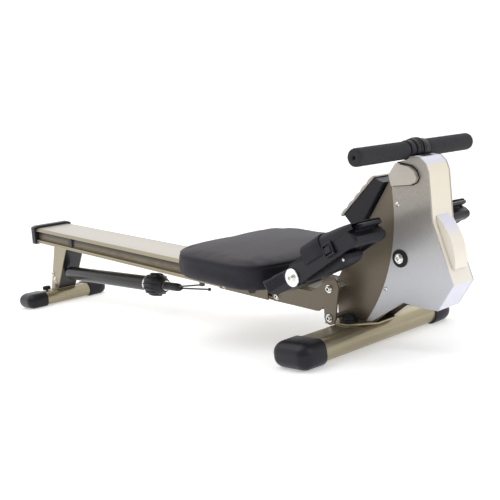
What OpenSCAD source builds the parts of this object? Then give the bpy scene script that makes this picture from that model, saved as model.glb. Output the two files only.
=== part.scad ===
// Folding rowing machine with a magnetic flywheel, a sliding seat and swinging foot plates.
// Origin: centre of the footprint on the floor. +X points to the flywheel end, +Z is up.
// The machine is symmetric about the XZ plane unless a piece says otherwise.

/* [Rail] */
// Height of the rail's top face at its rear end
rail_rear_z = 278; // [265:1:290]
// Slope of the rail, down towards the flywheel
rail_tilt = 6; // [5.6:0.1:6.2]
// Width of the rail
rail_w = 136; // [132:1:136]
// Depth of the rail
rail_h = 50; // [48:1:52]

/* [Seat] */
// Length of the seat pad along the rail
seat_l = 354; // [300:2:356]
// Width of the seat pad
seat_w = 408; // [320:2:410]
// Thickness of the seat pad
seat_t = 54; // [40:1:56]

/* [Feet] */
// Length of the front foot across the machine
front_foot_l = 500; // [460:10:520]
// Length of the rear foot across the machine
rear_foot_l = 308; // [280:4:340]

/* [Housing] */
// Outer width of the flywheel housing
housing_w = 72; // [72:1:74]
// Radius of the flywheel
wheel_r = 105; // [98:1:106]

/* [Handle] */
// Length of the pull handle
handle_l = 366; // [340:2:400]
// Radius of the foam grips
grip_r = 18; // [15:0.5:18]

/* [Hidden] */
$fn = 48;

// Colours
gold = [0.66, 0.60, 0.47];
bronze = [0.42, 0.38, 0.31];
silver = [0.68, 0.68, 0.70];
cream = [0.93, 0.91, 0.85];
black = [0.10, 0.10, 0.11];
steel = [0.80, 0.80, 0.80];
dark_steel = [0.35, 0.35, 0.37];
rubber = [0.16, 0.16, 0.17];

// Small gaps: a turning fit's radial clearance, and the gap between bodies that pass each other
fit = 0.05;
gap = 0.4;

// Rail frame: X runs forward down the rail, Z = 0 is the rail's top face
rail_rear_x = -856;
rail_l = 1418;
recess_top = 9;        // depth of the side channel's upper and lower edges below the top face
recess_bottom = 40;
recess_y = 58;         // half-width between the floors of the two side channels
wall = 3;
top_plate_t = 2;
top_plate_w = 114;

// Feet: a flattened tube with a moulded cap at each end
front_foot = [635, 100, 52]; // X of the centre, length along X, height
rear_foot = [-854, 96, 46];
cap_wall = 3;
front_cap_l = 66;
rear_cap_l = 70;
tube_inset = 30;        // each tube ends this far inside its caps' outer ends

// Fold hinge and its lock bolt
pivot = [606, 137];
lock = [597, 70];
ear_y = 74;
ear_t = 4;
arm_t = 4;
bolt_r = 6;
bolt_head_r = 9.5;
base_z = front_foot[2] + cap_wall;
plate_t = 4;

// Housing shells, from the centre outwards: frame plate, cover
cover_t = 4;
cover_y = housing_w / 2;
frame_y = cover_y - cover_t - 0.5;
frame_t = 3;
inner_y = frame_y - frame_t;
panel_t = 3;

// Shafts
wheel_axis = [780, 202];
spool_axis = [812, 350];
roller_axis = [829, 395];
pedal_axis = [614, 185];
handle_axis = [815, 422];
brake_axis = [716, 97];
axle_r = 5;
pedal_axle_r = 6;
roller_r = 6;

// Belt drive from the spool's clutch pulley to the flywheel
drive_r = 30;
driven_r = 14;
belt_t = 2;
belt_y = 20;
belt_w = 7;

// Foot plates
pedal_in_y = 96;
pedal_out_y = 190;

// Seat carriage
seat_x = 1187;         // seat centre along the rail
pad_gap = 14;          // underside of the pad above the rail's top face
seat_roller_r = 11.5;
seat_roller_x = 60;
roller_z = -25;         // the rollers' centres, below the rail's top face
roller_pin_r = 4;
skirt_y = 76;
skirt_t = 3;
carriage_x = [-112, 76]; // ends of the carriage's skirts, from the seat's centre
carriage_t = 4.9;
seat_travel = 860;
stop_l = 22;

// Side outline of the housing, clockwise from the top, without its curved rear edge
housing_front = [[815, 403], [831, 410], [854, 405], [866, 392], [871, 374], [870, 329], [869, 276],
    [887, 211], [904, 149], [883, 123], [862, 96]];
housing_foot = [[817, 100], [776, 108], [729, 84], [683, 60], [667, 60]];
rear_arc = [390, 330, 387]; // centre X, centre Z and radius of the cover's rear edge
housing_back = [[777, 345], [779, 377], [800, 400]];
frame_outline = [[580, 59], [586, 145], [605, 169], [694, 277], [764, 359], [796, 396], [824, 399],
    [858, 380], [862, 330], [862, 276], [880, 211], [893, 150], [870, 118], [850, 102], [776, 106],
    [729, 84], [690, 59]];

function arc(c, r, a0, a1, n = 16) =
    [for (i = [0 : n]) let (a = a0 + (a1 - a0) * i / n) [c[0] + r * cos(a), c[1] + r * sin(a)]];
function unit(v) = v / norm(v);
// A path moved sideways to its right by t, with mitred corners
function inset(p, t) = [for (i = [0 : len(p) - 1])
    let (a = unit(p[max(i, 1)] - p[max(i, 1) - 1]),
         b = unit(p[min(i + 1, len(p) - 1)] - p[min(i, len(p) - 2)]),
         m = unit([a[1] + b[1], -a[0] - b[0]]))
    p[i] + m * t / max(0.4, m * [a[1], -a[0]])];
function reversed(p) = [for (i = [len(p) - 1 : -1 : 0]) p[i]];
function rear_edge_angle(z) = asin((z - rear_arc[1]) / rear_arc[2]);
cover_outline = concat(housing_front, housing_foot,
    arc(rear_arc, rear_arc[2], rear_edge_angle(64), rear_edge_angle(340)), housing_back);

// An XZ outline made solid between two Y values
module slab(y0, y1) {
    translate([0, y1, 0]) rotate([90, 0, 0]) linear_extrude(height = y1 - y0) children();
}
// A round bar along Y at an XZ point
module bar(p, r, y0, y1) {
    translate([p[0], y1, p[1]]) rotate([90, 0, 0]) cylinder(r = r, h = y1 - y0);
}
// A hexagonal bar along Y, r across its corners
module hex_bar(p, r, y0, y1) {
    translate([p[0], y1, p[1]]) rotate([90, 0, 0]) cylinder(r = r, h = y1 - y0, $fn = 6);
}
// The children and their mirror image across the middle plane
module both_sides() {
    children();
    mirror([0, 1, 0]) children();
}
module on_rail(x = 0) {
    translate([rail_rear_x, 0, rail_rear_z]) rotate([0, rail_tilt, 0]) translate([x, 0, 0]) children();
}
// A YZ outline made solid along the rail
module along_rail(x0, x1) {
    on_rail() translate([x0, 0, 0]) rotate([90, 0, 90]) linear_extrude(height = x1 - x0) children();
}
module stadium(w, h) {
    square([w - h, h], center = true);
    for (s = [-1, 1]) translate([s * (w - h) / 2, 0]) circle(d = h);
}
module rounded_square(w, h, r) {
    square([w - 2 * r, h], center = true);
    square([w, h - 2 * r], center = true);
    for (x = [-1, 1], y = [-1, 1]) translate([x * (w / 2 - r), y * (h / 2 - r)]) circle(r = r);
}

// Feet
module foot_tube(foot, l) {
    translate([foot[0], 0, cap_wall + foot[2] / 2]) difference() {
        slab(-l / 2 + tube_inset, l / 2 - tube_inset) stadium(foot[1], foot[2]);
        slab(-l / 2, l / 2) stadium(foot[1] - 5, foot[2] - 5);
    }
}
module foot_caps(foot, l, cap_l) {
    w = foot[1] + 2 * cap_wall;
    h = foot[2] + 2 * cap_wall;
    translate([foot[0], 0, h / 2]) both_sides() difference() {
        slab(-l / 2 - cap_wall, -l / 2 + cap_l) rounded_square(w, h, 20);
        slab(-l / 2 + cap_wall, -l / 2 + cap_l + 1) stadium(foot[1], foot[2]);
    }
}
module front_foot_tube() {
    color(gold) foot_tube(front_foot, front_foot_l);
}
module front_foot_caps() {
    color(black) foot_caps(front_foot, front_foot_l, front_cap_l);
}
module rear_foot_tube() {
    color(gold) foot_tube(rear_foot, rear_foot_l);
}
module rear_foot_caps() {
    color(black) foot_caps(rear_foot, rear_foot_l, rear_cap_l);
}

// Front frame
module base_plate() {
    color(gold) translate([0, 0, base_z]) linear_extrude(height = plate_t)
        polygon([[576, -ear_y], [650, -ear_y], [700, -34], [700, 34], [650, ear_y], [576, ear_y]]);
}
module foot_bolts() {
    // Carriage bolts under round caps that hold the base plate to the foot
    color(black) for (s = [-1, 1]) translate([634, s * 54, base_z + plate_t]) {
        cylinder(r = 17, h = 6);
        translate([0, 0, 6]) cylinder(r1 = 15, r2 = 11, h = 10);
    }
}
module ear_outline() {
    polygon([[584, 140], [582, 68], [614, 64], [633, 138]]);
    translate(pivot + [3, 4]) circle(r = 25);
    translate(lock) circle(r = 16);
}
module hinge_ears() {
    // Two upright ears that carry the fold pivot, with bores for both bolts
    color(gold) both_sides() difference() {
        slab(-ear_y - ear_t, -ear_y) ear_outline();
        bar(pivot, bolt_r + fit, -100, 0);
        bar(lock, bolt_r + fit, -100, 0);
    }
}
module hinge_bolts() {
    color(steel) for (p = [pivot, lock]) {
        bar(p, bolt_r, -ear_y - ear_t - 2, ear_y + ear_t + 2);
        for (s = [-1, 1]) {
            y = s * (ear_y + ear_t + 1.5);
            bar(p, bolt_head_r, min(y, y + s * 2), max(y, y + s * 2));
            hex_bar(p, bolt_head_r - 1, min(y, y + s * 6), max(y, y + s * 6));
        }
    }
}
module frame_plates() {
    color(bronze) both_sides() difference() {
        slab(-frame_y, -inner_y) polygon(frame_outline);
        for (p = [wheel_axis, spool_axis, brake_axis]) bar(p, axle_r + fit, -50, 0);
        bar(roller_axis, 3 + fit, -50, 0);
        bar(pedal_axis, pedal_axle_r, -50, 0);
        for (p = [pivot, lock]) bar(p, bolt_r + fit, -50, 0);
    }
}
module rear_spine() {
    // Strip that closes the sloping back between the two frame plates, drilled for the dial
    spine = [[583, 60], [589, 144], [607.5, 167], [696, 274], [764, 356]];
    color(bronze) difference() {
        slab(-inner_y, inner_y) polygon(concat(spine, reversed(inset(spine, 3))));
        dial_frame() translate([0, 0, -10]) cylinder(r = 4 + fit, h = 30);
        bar(pedal_axis, pedal_axle_r, -50, 50);
    }
}

// Housing shells
module cover() {
    difference() {
        slab(-cover_y, -cover_y + cover_t) difference() {
            polygon(cover_outline);
            translate(handle_axis) circle(r = 20);
        }
        bar(wheel_axis, 9, -50, 0);
        for (p = cover_screw_points) bar(p, 2.5, -50, 0);
    }
}
cover_screw_points = [[787, 314], [732, 136]];
module right_cover() {
    color(silver) cover();
}
module left_cover() {
    color(silver) mirror([0, 1, 0]) cover();
}
module front_panel() {
    // One bent shell over the front and the top, slotted for the strap and open behind the wheel guard
    y = cover_y - cover_t;
    outer = [for (i = [1 : len(housing_front) - 1]) housing_front[i]];
    color(cream) difference() {
        slab(-y, y) polygon(concat(outer, reversed(inset(outer, panel_t))));
        bar(handle_axis, 24, -y - 1, y + 1);
        translate([832, -13, 390]) cube([12, 26, 30]);
        bar(wheel_axis, wheel_r + 6, -19, 19);
        frame_clearance();
    }
}
module frame_clearance() {
    both_sides() slab(-frame_y - 0.3, -inner_y + 0.3) polygon(frame_outline);
}
guard_r = 124;
module wheel_guard() {
    // Arched guard where the flywheel stands proud of the front panel
    color(cream) difference() {
        intersection() {
            bar(wheel_axis, guard_r, -21, 21);
            slab(-21, 21) polygon([[870.2, 329], [869.2, 276], [887.2, 211], [896, 179], [925, 179], [925, 300],
                [873, 290], [870.2, 292]]);
        }
        bar(wheel_axis, guard_r - 4, -18, 18);
    }
}
module side_caps() {
    color(silver) both_sides() slab(-cover_y - 10, -cover_y - 0.01) {
        polygon([[779, 377], [783, 353], [832, 353], [843, 357], [849, 366], [845, 379], [833, 390],
            [800, 399]]);
    }
}
module cover_screws() {
    color(steel) both_sides() for (p = cover_screw_points) {
        bar(p, 2.4, -cover_y, -frame_y);
        bar(p, 5, -cover_y - 2.5, -cover_y);
    }
}

// Flywheel, brake and drive
module main_axle() {
    color(steel) bar(wheel_axis, axle_r, -cover_y - 12, cover_y + 12);
}
module axle_nuts() {
    // A boss and nut outside each cover, and spacers from the frame plates to the flywheel's bearings
    color(steel) both_sides() {
        difference() {
            union() {
                bar(wheel_axis, 16, -cover_y - 3, -cover_y - 0.01);
                hex_bar(wheel_axis, 10, -cover_y - 10, -cover_y - 3);
                bar(wheel_axis, 8.5, -cover_y, -frame_y);
            }
            bar(wheel_axis, axle_r, -60, 0);
        }
    }
    color(steel) difference() {
        union() {
            bar(wheel_axis, 7, -inner_y, -13.3);
            bar(wheel_axis, 7, 26.3, inner_y);
        }
        bar(wheel_axis, axle_r, -60, 60);
    }
}
module flywheel() {
    color(dark_steel) rotate_about(wheel_axis) difference() {
        union() {
            difference() {
                cylinder(r = wheel_r, h = 26, center = true);
                for (s = [-1, 1]) translate([0, 0, s * 13]) cylinder(r = wheel_r - 16, h = 18, center = true);
            }
            translate([0, 0, -13]) cylinder(r = 22, h = 26);
            // Driven pulley for the belt
            translate([0, 0, -26]) cylinder(r = driven_r, h = 26);
        }
        for (i = [0 : 5]) rotate(i * 60) translate([58, 0, -20]) cylinder(r = 14, h = 40);
        cylinder(r = axle_r + 1, h = 80, center = true);
        translate([0, 0, 7]) cylinder(r = 11, h = 10);
        translate([0, 0, -30]) cylinder(r = 11, h = 11);
    }
}
// A frame at an XZ point with its own Z along -Y
module rotate_about(p) {
    translate([p[0], 0, p[1]]) rotate([90, 0, 0]) children();
}
module wheel_bearings() {
    color(steel) rotate_about(wheel_axis) for (z = [7, -26]) translate([0, 0, z]) difference() {
        cylinder(r = 11, h = z > 0 ? 6 : 7);
        translate([0, 0, -1]) cylinder(r = axle_r + fit, h = 10);
    }
}
module brake_arm() {
    // Steel arc that carries the magnets towards or away from the rim
    color(dark_steel) difference() {
        union() {
            slab(-12, 12) polygon(concat(arc(wheel_axis, 121, 184, 234, 12),
                reversed(arc(wheel_axis, 117.5, 184, 234, 12))));
            slab(-12, 12) polygon([[706, 110], [709, 92], [722, 92], [713, 106]]);
            bar(brake_axis, 8, -12, 12);
        }
        bar(brake_axis, axle_r + fit, -20, 20);
    }
}
module brake_magnets() {
    color(steel) for (a = [192, 204, 216]) rotate_about(wheel_axis) rotate(a)
        translate([107, -8, -10]) cube([10, 16, 20]);
}
module inner_pins() {
    // Pins between the frame plates for the brake arm, the spool and the strap's guide roller
    color(steel) {
        bar(brake_axis, axle_r, -frame_y, frame_y);
        bar(spool_axis, axle_r, -frame_y, frame_y);
        bar(roller_axis, 3, -frame_y, frame_y);
    }
}
module strap_spool() {
    // Flanged spool with the wound strap, and the recoil spring's hub beside it
    color(rubber) rotate_about(spool_axis) difference() {
        union() {
            for (z = [-13, 11.5]) translate([0, 0, z]) cylinder(r = 30, h = 1.5);
            translate([0, 0, -13]) cylinder(r = 22, h = 26);
            translate([0, 0, 13]) cylinder(r = 8, h = 12);
        }
        cylinder(r = axle_r + fit, h = 80, center = true);
    }
}
module drive_pulley() {
    color(dark_steel) rotate_about(spool_axis) difference() {
        translate([0, 0, -belt_y - 4]) cylinder(r = drive_r, h = 8);
        cylinder(r = axle_r + fit, h = 80, center = true);
    }
}
module spring_drum() {
    // Can that holds the flat recoil spring
    color(dark_steel) rotate_about(spool_axis) difference() {
        translate([0, 0, 13.5]) cylinder(r = 27, h = inner_y - 13.6);
        translate([0, 0, 12]) cylinder(r = 25, h = inner_y - 13.6);
        cylinder(r = axle_r + fit, h = 80, center = true);
    }
}
module recoil_spring() {
    // Flat coils of the recoil spring, drawn as nested rings
    color(steel) rotate_about(spool_axis) for (r = [10 : 3 : 22]) difference() {
        translate([0, 0, 15]) cylinder(r = r + 1, h = 9);
        translate([0, 0, 14]) cylinder(r = r, h = 11);
    }
}
module drive_belt() {
    // Closed belt round both pulleys
    color(black) slab(belt_y - belt_w / 2, belt_y + belt_w / 2) difference() {
        belt_loop(belt_t);
        belt_loop(0.3);
    }
}
module belt_loop(t) {
    hull() {
        translate(spool_axis) circle(r = drive_r + t, $fn = 40);
        translate(wheel_axis) circle(r = driven_r + t, $fn = 32);
    }
}
module guide_roller() {
    color(steel) rotate_about(roller_axis) difference() {
        cylinder(r = roller_r, h = 28, center = true);
        cylinder(r = 3 + fit, h = 80, center = true);
    }
}

// Resistance dial on the sloping back, and the cable that it winds
dial_at = [649, 226];
dial_tilt = 40;
module dial_frame() {
    translate([dial_at[0], 0, dial_at[1]]) rotate([0, dial_tilt - 90, 0]) children();
}
module tension_dial() {
    color(black) dial_frame() {
        difference() {
            translate([0, 0, 1]) cylinder(r = 21, h = 15);
            for (i = [0 : 11]) rotate(i * 30) translate([22.5, 0, 0]) cylinder(r = 3, h = 20);
        }
        translate([0, 0, -15]) cylinder(r = 4, h = 17);
        // Drum that winds the cable
        translate([0, 0, -15]) cylinder(r = 9, h = 6);
    }
}
module tension_cable() {
    // Taut cable behind the spine, from the dial's drum down towards the brake arm
    color(black) dial_frame() translate([-52, 10.6, -12]) rotate([0, 90, 0]) cylinder(r = 1.2, h = 52);
}

// Console
console_y = 42;
console_side = [[641, 297], [659, 274], [693, 279], [761, 361], [737, 372]];
face_a = [641, 297];
face_tilt = atan2(75, 96);
module face_frame() {
    translate([face_a[0], 0, face_a[1]]) rotate([0, -face_tilt, 0]) children();
}
module console_shell() {
    color(black) difference() {
        slab(-console_y, console_y) polygon(console_side);
        slab(-frame_y - 0.3, frame_y + 0.3) polygon([for (p = frame_outline) p + [-1, 1] * 0.3]);
        face_frame() translate([26, 0, -8]) cylinder(r = 6.3, h = 20);
    }
}
module console_bezel() {
    color(silver) difference() {
        face_frame() translate([-6, -console_y - 2, 0]) cube([130, 2 * console_y + 4, 4]);
        face_frame() translate([47, -30, 1]) cube([56, 60, 10]);
        face_frame() translate([26, 0, -8]) cylinder(r = 6.3, h = 20);
    }
}
module console_screen() {
    color([0.35, 0.4, 0.38]) face_frame() translate([47, -30, 1]) cube([56, 60, 2.2]);
}
module console_button() {
    color(rubber) face_frame() translate([26, 0, -2]) cylinder(r = 6, h = 8);
}

// Pull handle
module handle_bar() {
    color(steel) difference() {
        bar(handle_axis, 12.5, -handle_l / 2 + 6, handle_l / 2 - 6);
        bar(handle_axis, 10.5, -handle_l / 2, handle_l / 2);
    }
}
module handle_grips() {
    color(rubber) both_sides() difference() {
        bar(handle_axis, grip_r, -handle_l / 2, -30);
        bar(handle_axis, 12.5, -handle_l / 2 + 6, 0);
        bar(handle_axis, 4, -handle_l / 2 - 1, 0);
    }
}
module handle_collars() {
    color(black) difference() {
        union() {
            bar(handle_axis, 20, -30, 30);
            for (y = [-30, -8, 2, 23]) bar(handle_axis, 22.5, y, y + 7);
        }
        bar(handle_axis, 12.5, -40, 40);
    }
}
module pull_strap() {
    // Flat strap from the spool up through the slot to the handle's hub
    color(black) slab(-10, 10)
        polygon([[834.4, 352], [835.8, 352], [837.4, 404], [833.2, 408.7], [832.3, 407.4], [835.6, 403]]);
}

// Foot plates on one through axle
module pedal_axle() {
    color(steel) {
        bar(pedal_axis, pedal_axle_r, -pedal_out_y - 4, pedal_out_y + 4);
        both_sides() {
            bar(pedal_axis, 20, -pedal_out_y - 3, -pedal_out_y - gap);
            hex_bar(pedal_axis, 9, -pedal_out_y - 9, -pedal_out_y - 3);
        }
    }
}
// Profile of the foot plate and of the heel block beneath it, in the XZ plane
plate_profile = [[512, 173], [534, 141], [560, 144], [640, 176], [700, 205], [760, 236], [792, 252],
    [800, 257], [803, 266], [792, 276], [812, 293], [800, 296], [776, 286], [690, 247], [640, 219], [587, 197]];
module pedal() {
    difference() {
        union() {
            slab(-pedal_out_y, -pedal_in_y) polygon(plate_profile);
            bar(pedal_axis, 19, -pedal_out_y, -124);
            slab(-170, -124) {
                polygon([[614, 166], [660, 178], [735, 205], [757, 218], [764, 232], [740, 240], [640, 200]]);
            }
        }
        bar(pedal_axis, pedal_axle_r + fit, -200, 0);
        // Lightening slot under the ball of the foot
        slab(-123.5, -pedal_in_y + 1) polygon([[560, 130], [560, 158], [640, 190], [760, 240], [790, 230],
            [700, 130]]);
    }
}
module right_pedal() {
    color(black) pedal();
}
module left_pedal() {
    color(black) mirror([0, 1, 0]) pedal();
}
strap_at = [680, 242];
strap_w = 50;
strap_t = 3;
strap_rise = 24;
module foot_strap() {
    // Webbing band low over the foot plate, fixed to the plate's two side faces
    half = (pedal_out_y - pedal_in_y) / 2 + 0.01;
    translate([strap_at[0], -(pedal_in_y + pedal_out_y) / 2, strap_at[1]]) rotate([0, -24, 0])
        translate([-strap_w / 2, 0, 0]) rotate([90, 0, 90]) linear_extrude(height = strap_w) difference() {
            strap_arch(half + strap_t, strap_rise, 17);
            strap_arch(half, strap_rise - strap_t, 14);
            translate([-80, -90]) square([160, 72]);
        }
}
module strap_arch(a, h, r) {
    // A low arch: straight legs and a rounded top
    translate([-a, -30]) square([2 * a, 30 + h - r]);
    translate([-a + r, 0]) square([2 * a - 2 * r, h]);
    for (s = [-1, 1]) translate([s * (a - r), h - r]) circle(r = r);
}
module right_foot_strap() {
    color(rubber) foot_strap();
}
module left_foot_strap() {
    color(rubber) mirror([0, 1, 0]) foot_strap();
}

// Rail
rail_side = [[0, 0], [62, 0], [68, -6], [68, -recess_top], [recess_y, -recess_top],
    [recess_y, -recess_bottom], [68, -recess_bottom], [68, -43.5], [66.5, -44.5], [66.5, -46], [68, -47],
    [68, -rail_h], [0, -rail_h]];
module rail() {
    half = rail_w / 2 - 68;
    color(gold) along_rail(0, rail_l) both_halves() difference() {
        polygon([for (p = rail_side) [p[0] == 0 ? 0 : p[0] + half, p[1]]]);
        translate([-1, -rail_h + wall]) square([recess_y - wall + half + 1, rail_h - wall - 5]);
        translate([-1, -top_plate_t]) square([top_plate_w / 2 + 1, 5]);
    }
}
module both_halves() {
    children();
    mirror([1, 0]) children();
}
module rail_top() {
    color(silver) along_rail(0, rail_l) translate([-top_plate_w / 2, -top_plate_t])
        square([top_plate_w, top_plate_t]);
}
module rail_caps() {
    // Crowned cap that stands proud of the rear end, and a flush cap at the front
    color(black) {
        along_rail(-26, 0) polygon([[-74, -56], [74, -56], [74, 4], [60, 9], [-60, 9], [-74, 4]]);
        along_rail(rail_l, rail_l + 5)
            polygon([[-66, -48], [66, -48], [66, -8], [58, -1], [-58, -1], [-66, -8]]);
    }
}
module hinge_arms() {
    // Flat arms bolted to the rail's sides, reaching forward to the fold pivot
    color(bronze) both_sides() difference() {
        union() {
            slab(-rail_w / 2 - arm_t, -rail_w / 2 - 0.1) {
                polygon([[405, 104], [408, 96], [420, 95], [560, 82], [622, 128], [600, 154], [545, 127],
                    [415, 138], [405, 130]]);
                translate(pivot) circle(r = 18);
            }
            bar([422, 108], 8, -rail_w / 2 - arm_t - 1.5, -rail_w / 2 - arm_t);
        }
        bar(pivot, bolt_r + fit, -90, 0);
    }
}
module rail_stops() {
    // Rubber blocks in the side channels that end the rollers' travel
    reach = seat_roller_x + seat_roller_r + gap;
    color(rubber) for (x = [seat_x + reach, seat_x - seat_travel - reach - stop_l])
        on_rail(x) both_sides() translate([0, recess_y, -recess_bottom + 3])
            cube([stop_l, 6, recess_bottom - recess_top - 6]);
}

// Rear leg and its stay
function rail_under(x) = rail_rear_z - (x - rail_rear_x) * tan(rail_tilt) - rail_h / cos(rail_tilt);
leg_half = 36;
leg_rear = [[-872, 49], [-790, rail_under(-790)]];
leg_front = [[-821, 49], [-700, rail_under(-700)]];
module rear_leg() {
    color(gold) difference() {
        slab(-leg_half, leg_half) polygon([leg_rear[0], leg_rear[1], leg_front[1], leg_front[0]]);
        slab(-leg_half + 3, leg_half - 3)
            polygon([leg_rear[0] + [4, 4], leg_rear[1] + [4, -4], leg_front[1] + [4, -4], leg_front[0] + [4, 4]]);
    }
}
module leg_panel() {
    color(black) difference() {
        slab(-leg_half + 3.1, leg_half - 3.1)
            polygon([leg_front[0] + [-1, 4.2], leg_front[1] + [-1, -4.2], leg_front[1] + [-5, -4.2],
                leg_front[0] + [-5, 4.2]]);
        stay_frame(-40) cylinder(r = 7 + fit, h = 60);
    }
}
module rear_bolts() {
    color(steel) {
        both_sides() for (p = [[-838, 108], [-826, 87]]) bar(p, 6, -leg_half - 4, -leg_half);
        translate([-852, 64, 49]) cylinder(r = 7, h = 5, $fn = 6);
        translate([-852, 64, 49]) cylinder(r = 9, h = 1.5);
        // Washer behind the stay's clamp knob
        stay_frame(stay_l + 92) difference() {
            cylinder(r = 15, h = 3);
            translate([0, 0, -1]) cylinder(r = 8 + fit, h = 5);
        }
    }
}
module rear_knob() {
    // Small levelling knob on the rear foot
    color(black) translate([-859, -60, 49.3]) {
        cylinder(r = 4, h = 5);
        translate([0, 0, 3]) cylinder(r1 = 12, r2 = 14, h = 14);
    }
}
stay_at = [-757, -12, 110];
stay_tilt = 1.6;
stay_l = 520;
stay_r = 23;
module stay_frame(x = 0) {
    translate(stay_at) rotate([0, stay_tilt, 0]) rotate([0, 90, 0]) translate([0, 0, x]) children();
}
module stay_tube() {
    // Round stay under the rail, held to the leg by a stud, with a steel collar at its front end
    color(black) difference() {
        union() {
            stay_frame(-16) cylinder(r = 7, h = 20);
            stay_frame(0) cylinder(r1 = 16, r2 = stay_r, h = 12);
            stay_frame(12) cylinder(r = stay_r, h = stay_l - 12);
            stay_frame(stay_l) cylinder(r = stay_r + 3, h = 10);
            stay_frame(stay_l + 10) cylinder(r = 8, h = 100);
            stay_frame(stay_l + 96) cylinder(r = 12, h = 78);
        }
        rod_bars();
    }
}
module stay_knob() {
    color(black) stay_frame(stay_l + 11) difference() {
        union() {
            cylinder(r1 = 30, r2 = 36, h = 12);
            translate([0, 0, 12]) cylinder(r = 36, h = 44);
            translate([0, 0, 56]) cylinder(r1 = 36, r2 = 22, h = 24);
        }
        for (i = [0 : 11]) rotate(i * 30) translate([38, 0, -1]) cylinder(r = 5, h = 90);
        translate([0, 0, -1]) cylinder(r = 8 + fit, h = 90);
    }
}
// A thin rod from one point to another
module rod(p, q, r) {
    d = q - p;
    translate(p) rotate([0, acos(d[2] / norm(d)), atan2(d[1], d[0])]) cylinder(r = r, h = norm(d));
}
rod_hook = [44, -18, 106];
rod_bead = [72, -12, 93];
module rod_bars() {
    rod([-68, -16, 95], rod_hook, 2.5);
    rod([-68, -8, 88], rod_bead, 2.5);
}
module stay_rods() {
    // A push rod up to a block under the rail, and a pull rod that ends in a bead
    color(black) {
        rod_bars();
        translate(rod_bead) sphere(r = 5, $fn = 24);
        translate(rod_hook + [-1, -5, -3]) cube([12, 10, rail_under(rod_hook[0] + 11) - rod_hook[2] + 3]);
    }
}

// Seat
module seat_pad() {
    color(black) on_rail(seat_x) translate([0, 0, pad_gap]) {
        linear_extrude(height = seat_t - 10) rounded_square(seat_l, seat_w, 70);
        translate([0, 0, seat_t - 10]) linear_extrude(height = 10) rounded_square(seat_l - 20, seat_w - 20, 66);
    }
}
module seat_carriage() {
    // Folded plate over the rail with a skirt down each side and the axles of its rollers
    z = pad_gap - carriage_t - 0.1;
    l = carriage_x[1] - carriage_x[0];
    color(bronze) on_rail(seat_x) {
        translate([-150, -110, z]) cube([300, 220, carriage_t]);
        both_sides() {
            translate([carriage_x[0], -skirt_y - skirt_t, -48]) cube([l, skirt_t, 48 + z + 1]);
            for (x = [-seat_roller_x, seat_roller_x]) rotate_about([x, roller_z])
                translate([0, 0, recess_y + 1.5]) cylinder(r = roller_pin_r, h = skirt_y - recess_y);
            // Bolt at the skirt's lower rear corner and a round buffer under the pad's edge
            rotate_about([-90, -38]) translate([0, 0, skirt_y + skirt_t]) cylinder(r = 6, h = 4);
            rotate_about([18, -31]) translate([0, 0, skirt_y + skirt_t]) cylinder(r = 10, h = 5);
        }
    }
}
module roller_pair(x) {
    color(rubber) on_rail(seat_x + x) both_sides()
        translate([0, 0, roller_z]) rotate([90, 0, 0]) translate([0, 0, recess_y + 1.5]) difference() {
            cylinder(r = seat_roller_r, h = 8);
            translate([0, 0, -1]) cylinder(r = roller_pin_r + fit, h = 20);
        }
}
module front_rollers() {
    roller_pair(seat_roller_x);
}
module rear_rollers() {
    roller_pair(-seat_roller_x);
}

base_plate();
front_foot_tube();
front_foot_caps();
foot_bolts();
hinge_ears();
hinge_bolts();
frame_plates();
rear_spine();
right_cover();
left_cover();
front_panel();
wheel_guard();
side_caps();
cover_screws();
main_axle();
axle_nuts();
inner_pins();
spring_drum();
recoil_spring();
tension_cable();
console_shell();
console_bezel();
console_screen();
console_button();
tension_dial();
brake_arm();
brake_magnets();
guide_roller();
flywheel();
wheel_bearings();
drive_belt();
drive_pulley();
strap_spool();
handle_bar();
handle_grips();
handle_collars();
pull_strap();
pedal_axle();
right_pedal();
left_pedal();
right_foot_strap();
left_foot_strap();
rail();
rail_top();
rail_caps();
hinge_arms();
rail_stops();
rear_leg();
leg_panel();
rear_foot_tube();
rear_foot_caps();
rear_bolts();
rear_knob();
stay_tube();
stay_rods();
stay_knob();
seat_pad();
seat_carriage();
front_rollers();
rear_rollers();
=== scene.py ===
"""Looks of a folding rowing machine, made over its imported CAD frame.

Every size is in metres in the machine's own frame: +X points to the flywheel end, +Z is up.
"""

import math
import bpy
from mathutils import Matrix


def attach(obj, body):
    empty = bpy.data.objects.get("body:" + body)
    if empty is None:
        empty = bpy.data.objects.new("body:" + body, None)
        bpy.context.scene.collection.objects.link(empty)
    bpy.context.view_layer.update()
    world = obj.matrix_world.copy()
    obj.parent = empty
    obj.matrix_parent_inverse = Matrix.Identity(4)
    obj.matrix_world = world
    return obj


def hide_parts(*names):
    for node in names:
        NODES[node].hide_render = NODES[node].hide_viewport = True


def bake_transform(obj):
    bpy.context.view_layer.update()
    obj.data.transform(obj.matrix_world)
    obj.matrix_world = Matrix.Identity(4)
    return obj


bl_info = {
    "name": "Rowing machine looks",
    "version": (1, 0, 0),
    "blender": (4, 5, 0),
    "location": "3D View > Sidebar > Rower",
    "description": "Builds the seat, grips, foot plates, shells and finishes of a rowing machine",
    "category": "Add Mesh",
}

import bmesh
import bpy
from bpy.props import FloatProperty, FloatVectorProperty, IntProperty, PointerProperty
from bpy.types import Operator, Panel, PropertyGroup
from mathutils import Matrix, Vector

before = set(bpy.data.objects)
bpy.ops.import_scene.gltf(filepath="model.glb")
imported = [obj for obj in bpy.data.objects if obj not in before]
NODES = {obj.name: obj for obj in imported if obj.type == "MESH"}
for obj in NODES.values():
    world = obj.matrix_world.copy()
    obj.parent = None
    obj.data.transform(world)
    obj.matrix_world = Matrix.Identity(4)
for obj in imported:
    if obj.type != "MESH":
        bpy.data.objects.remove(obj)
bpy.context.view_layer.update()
MM = 0.001

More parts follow.
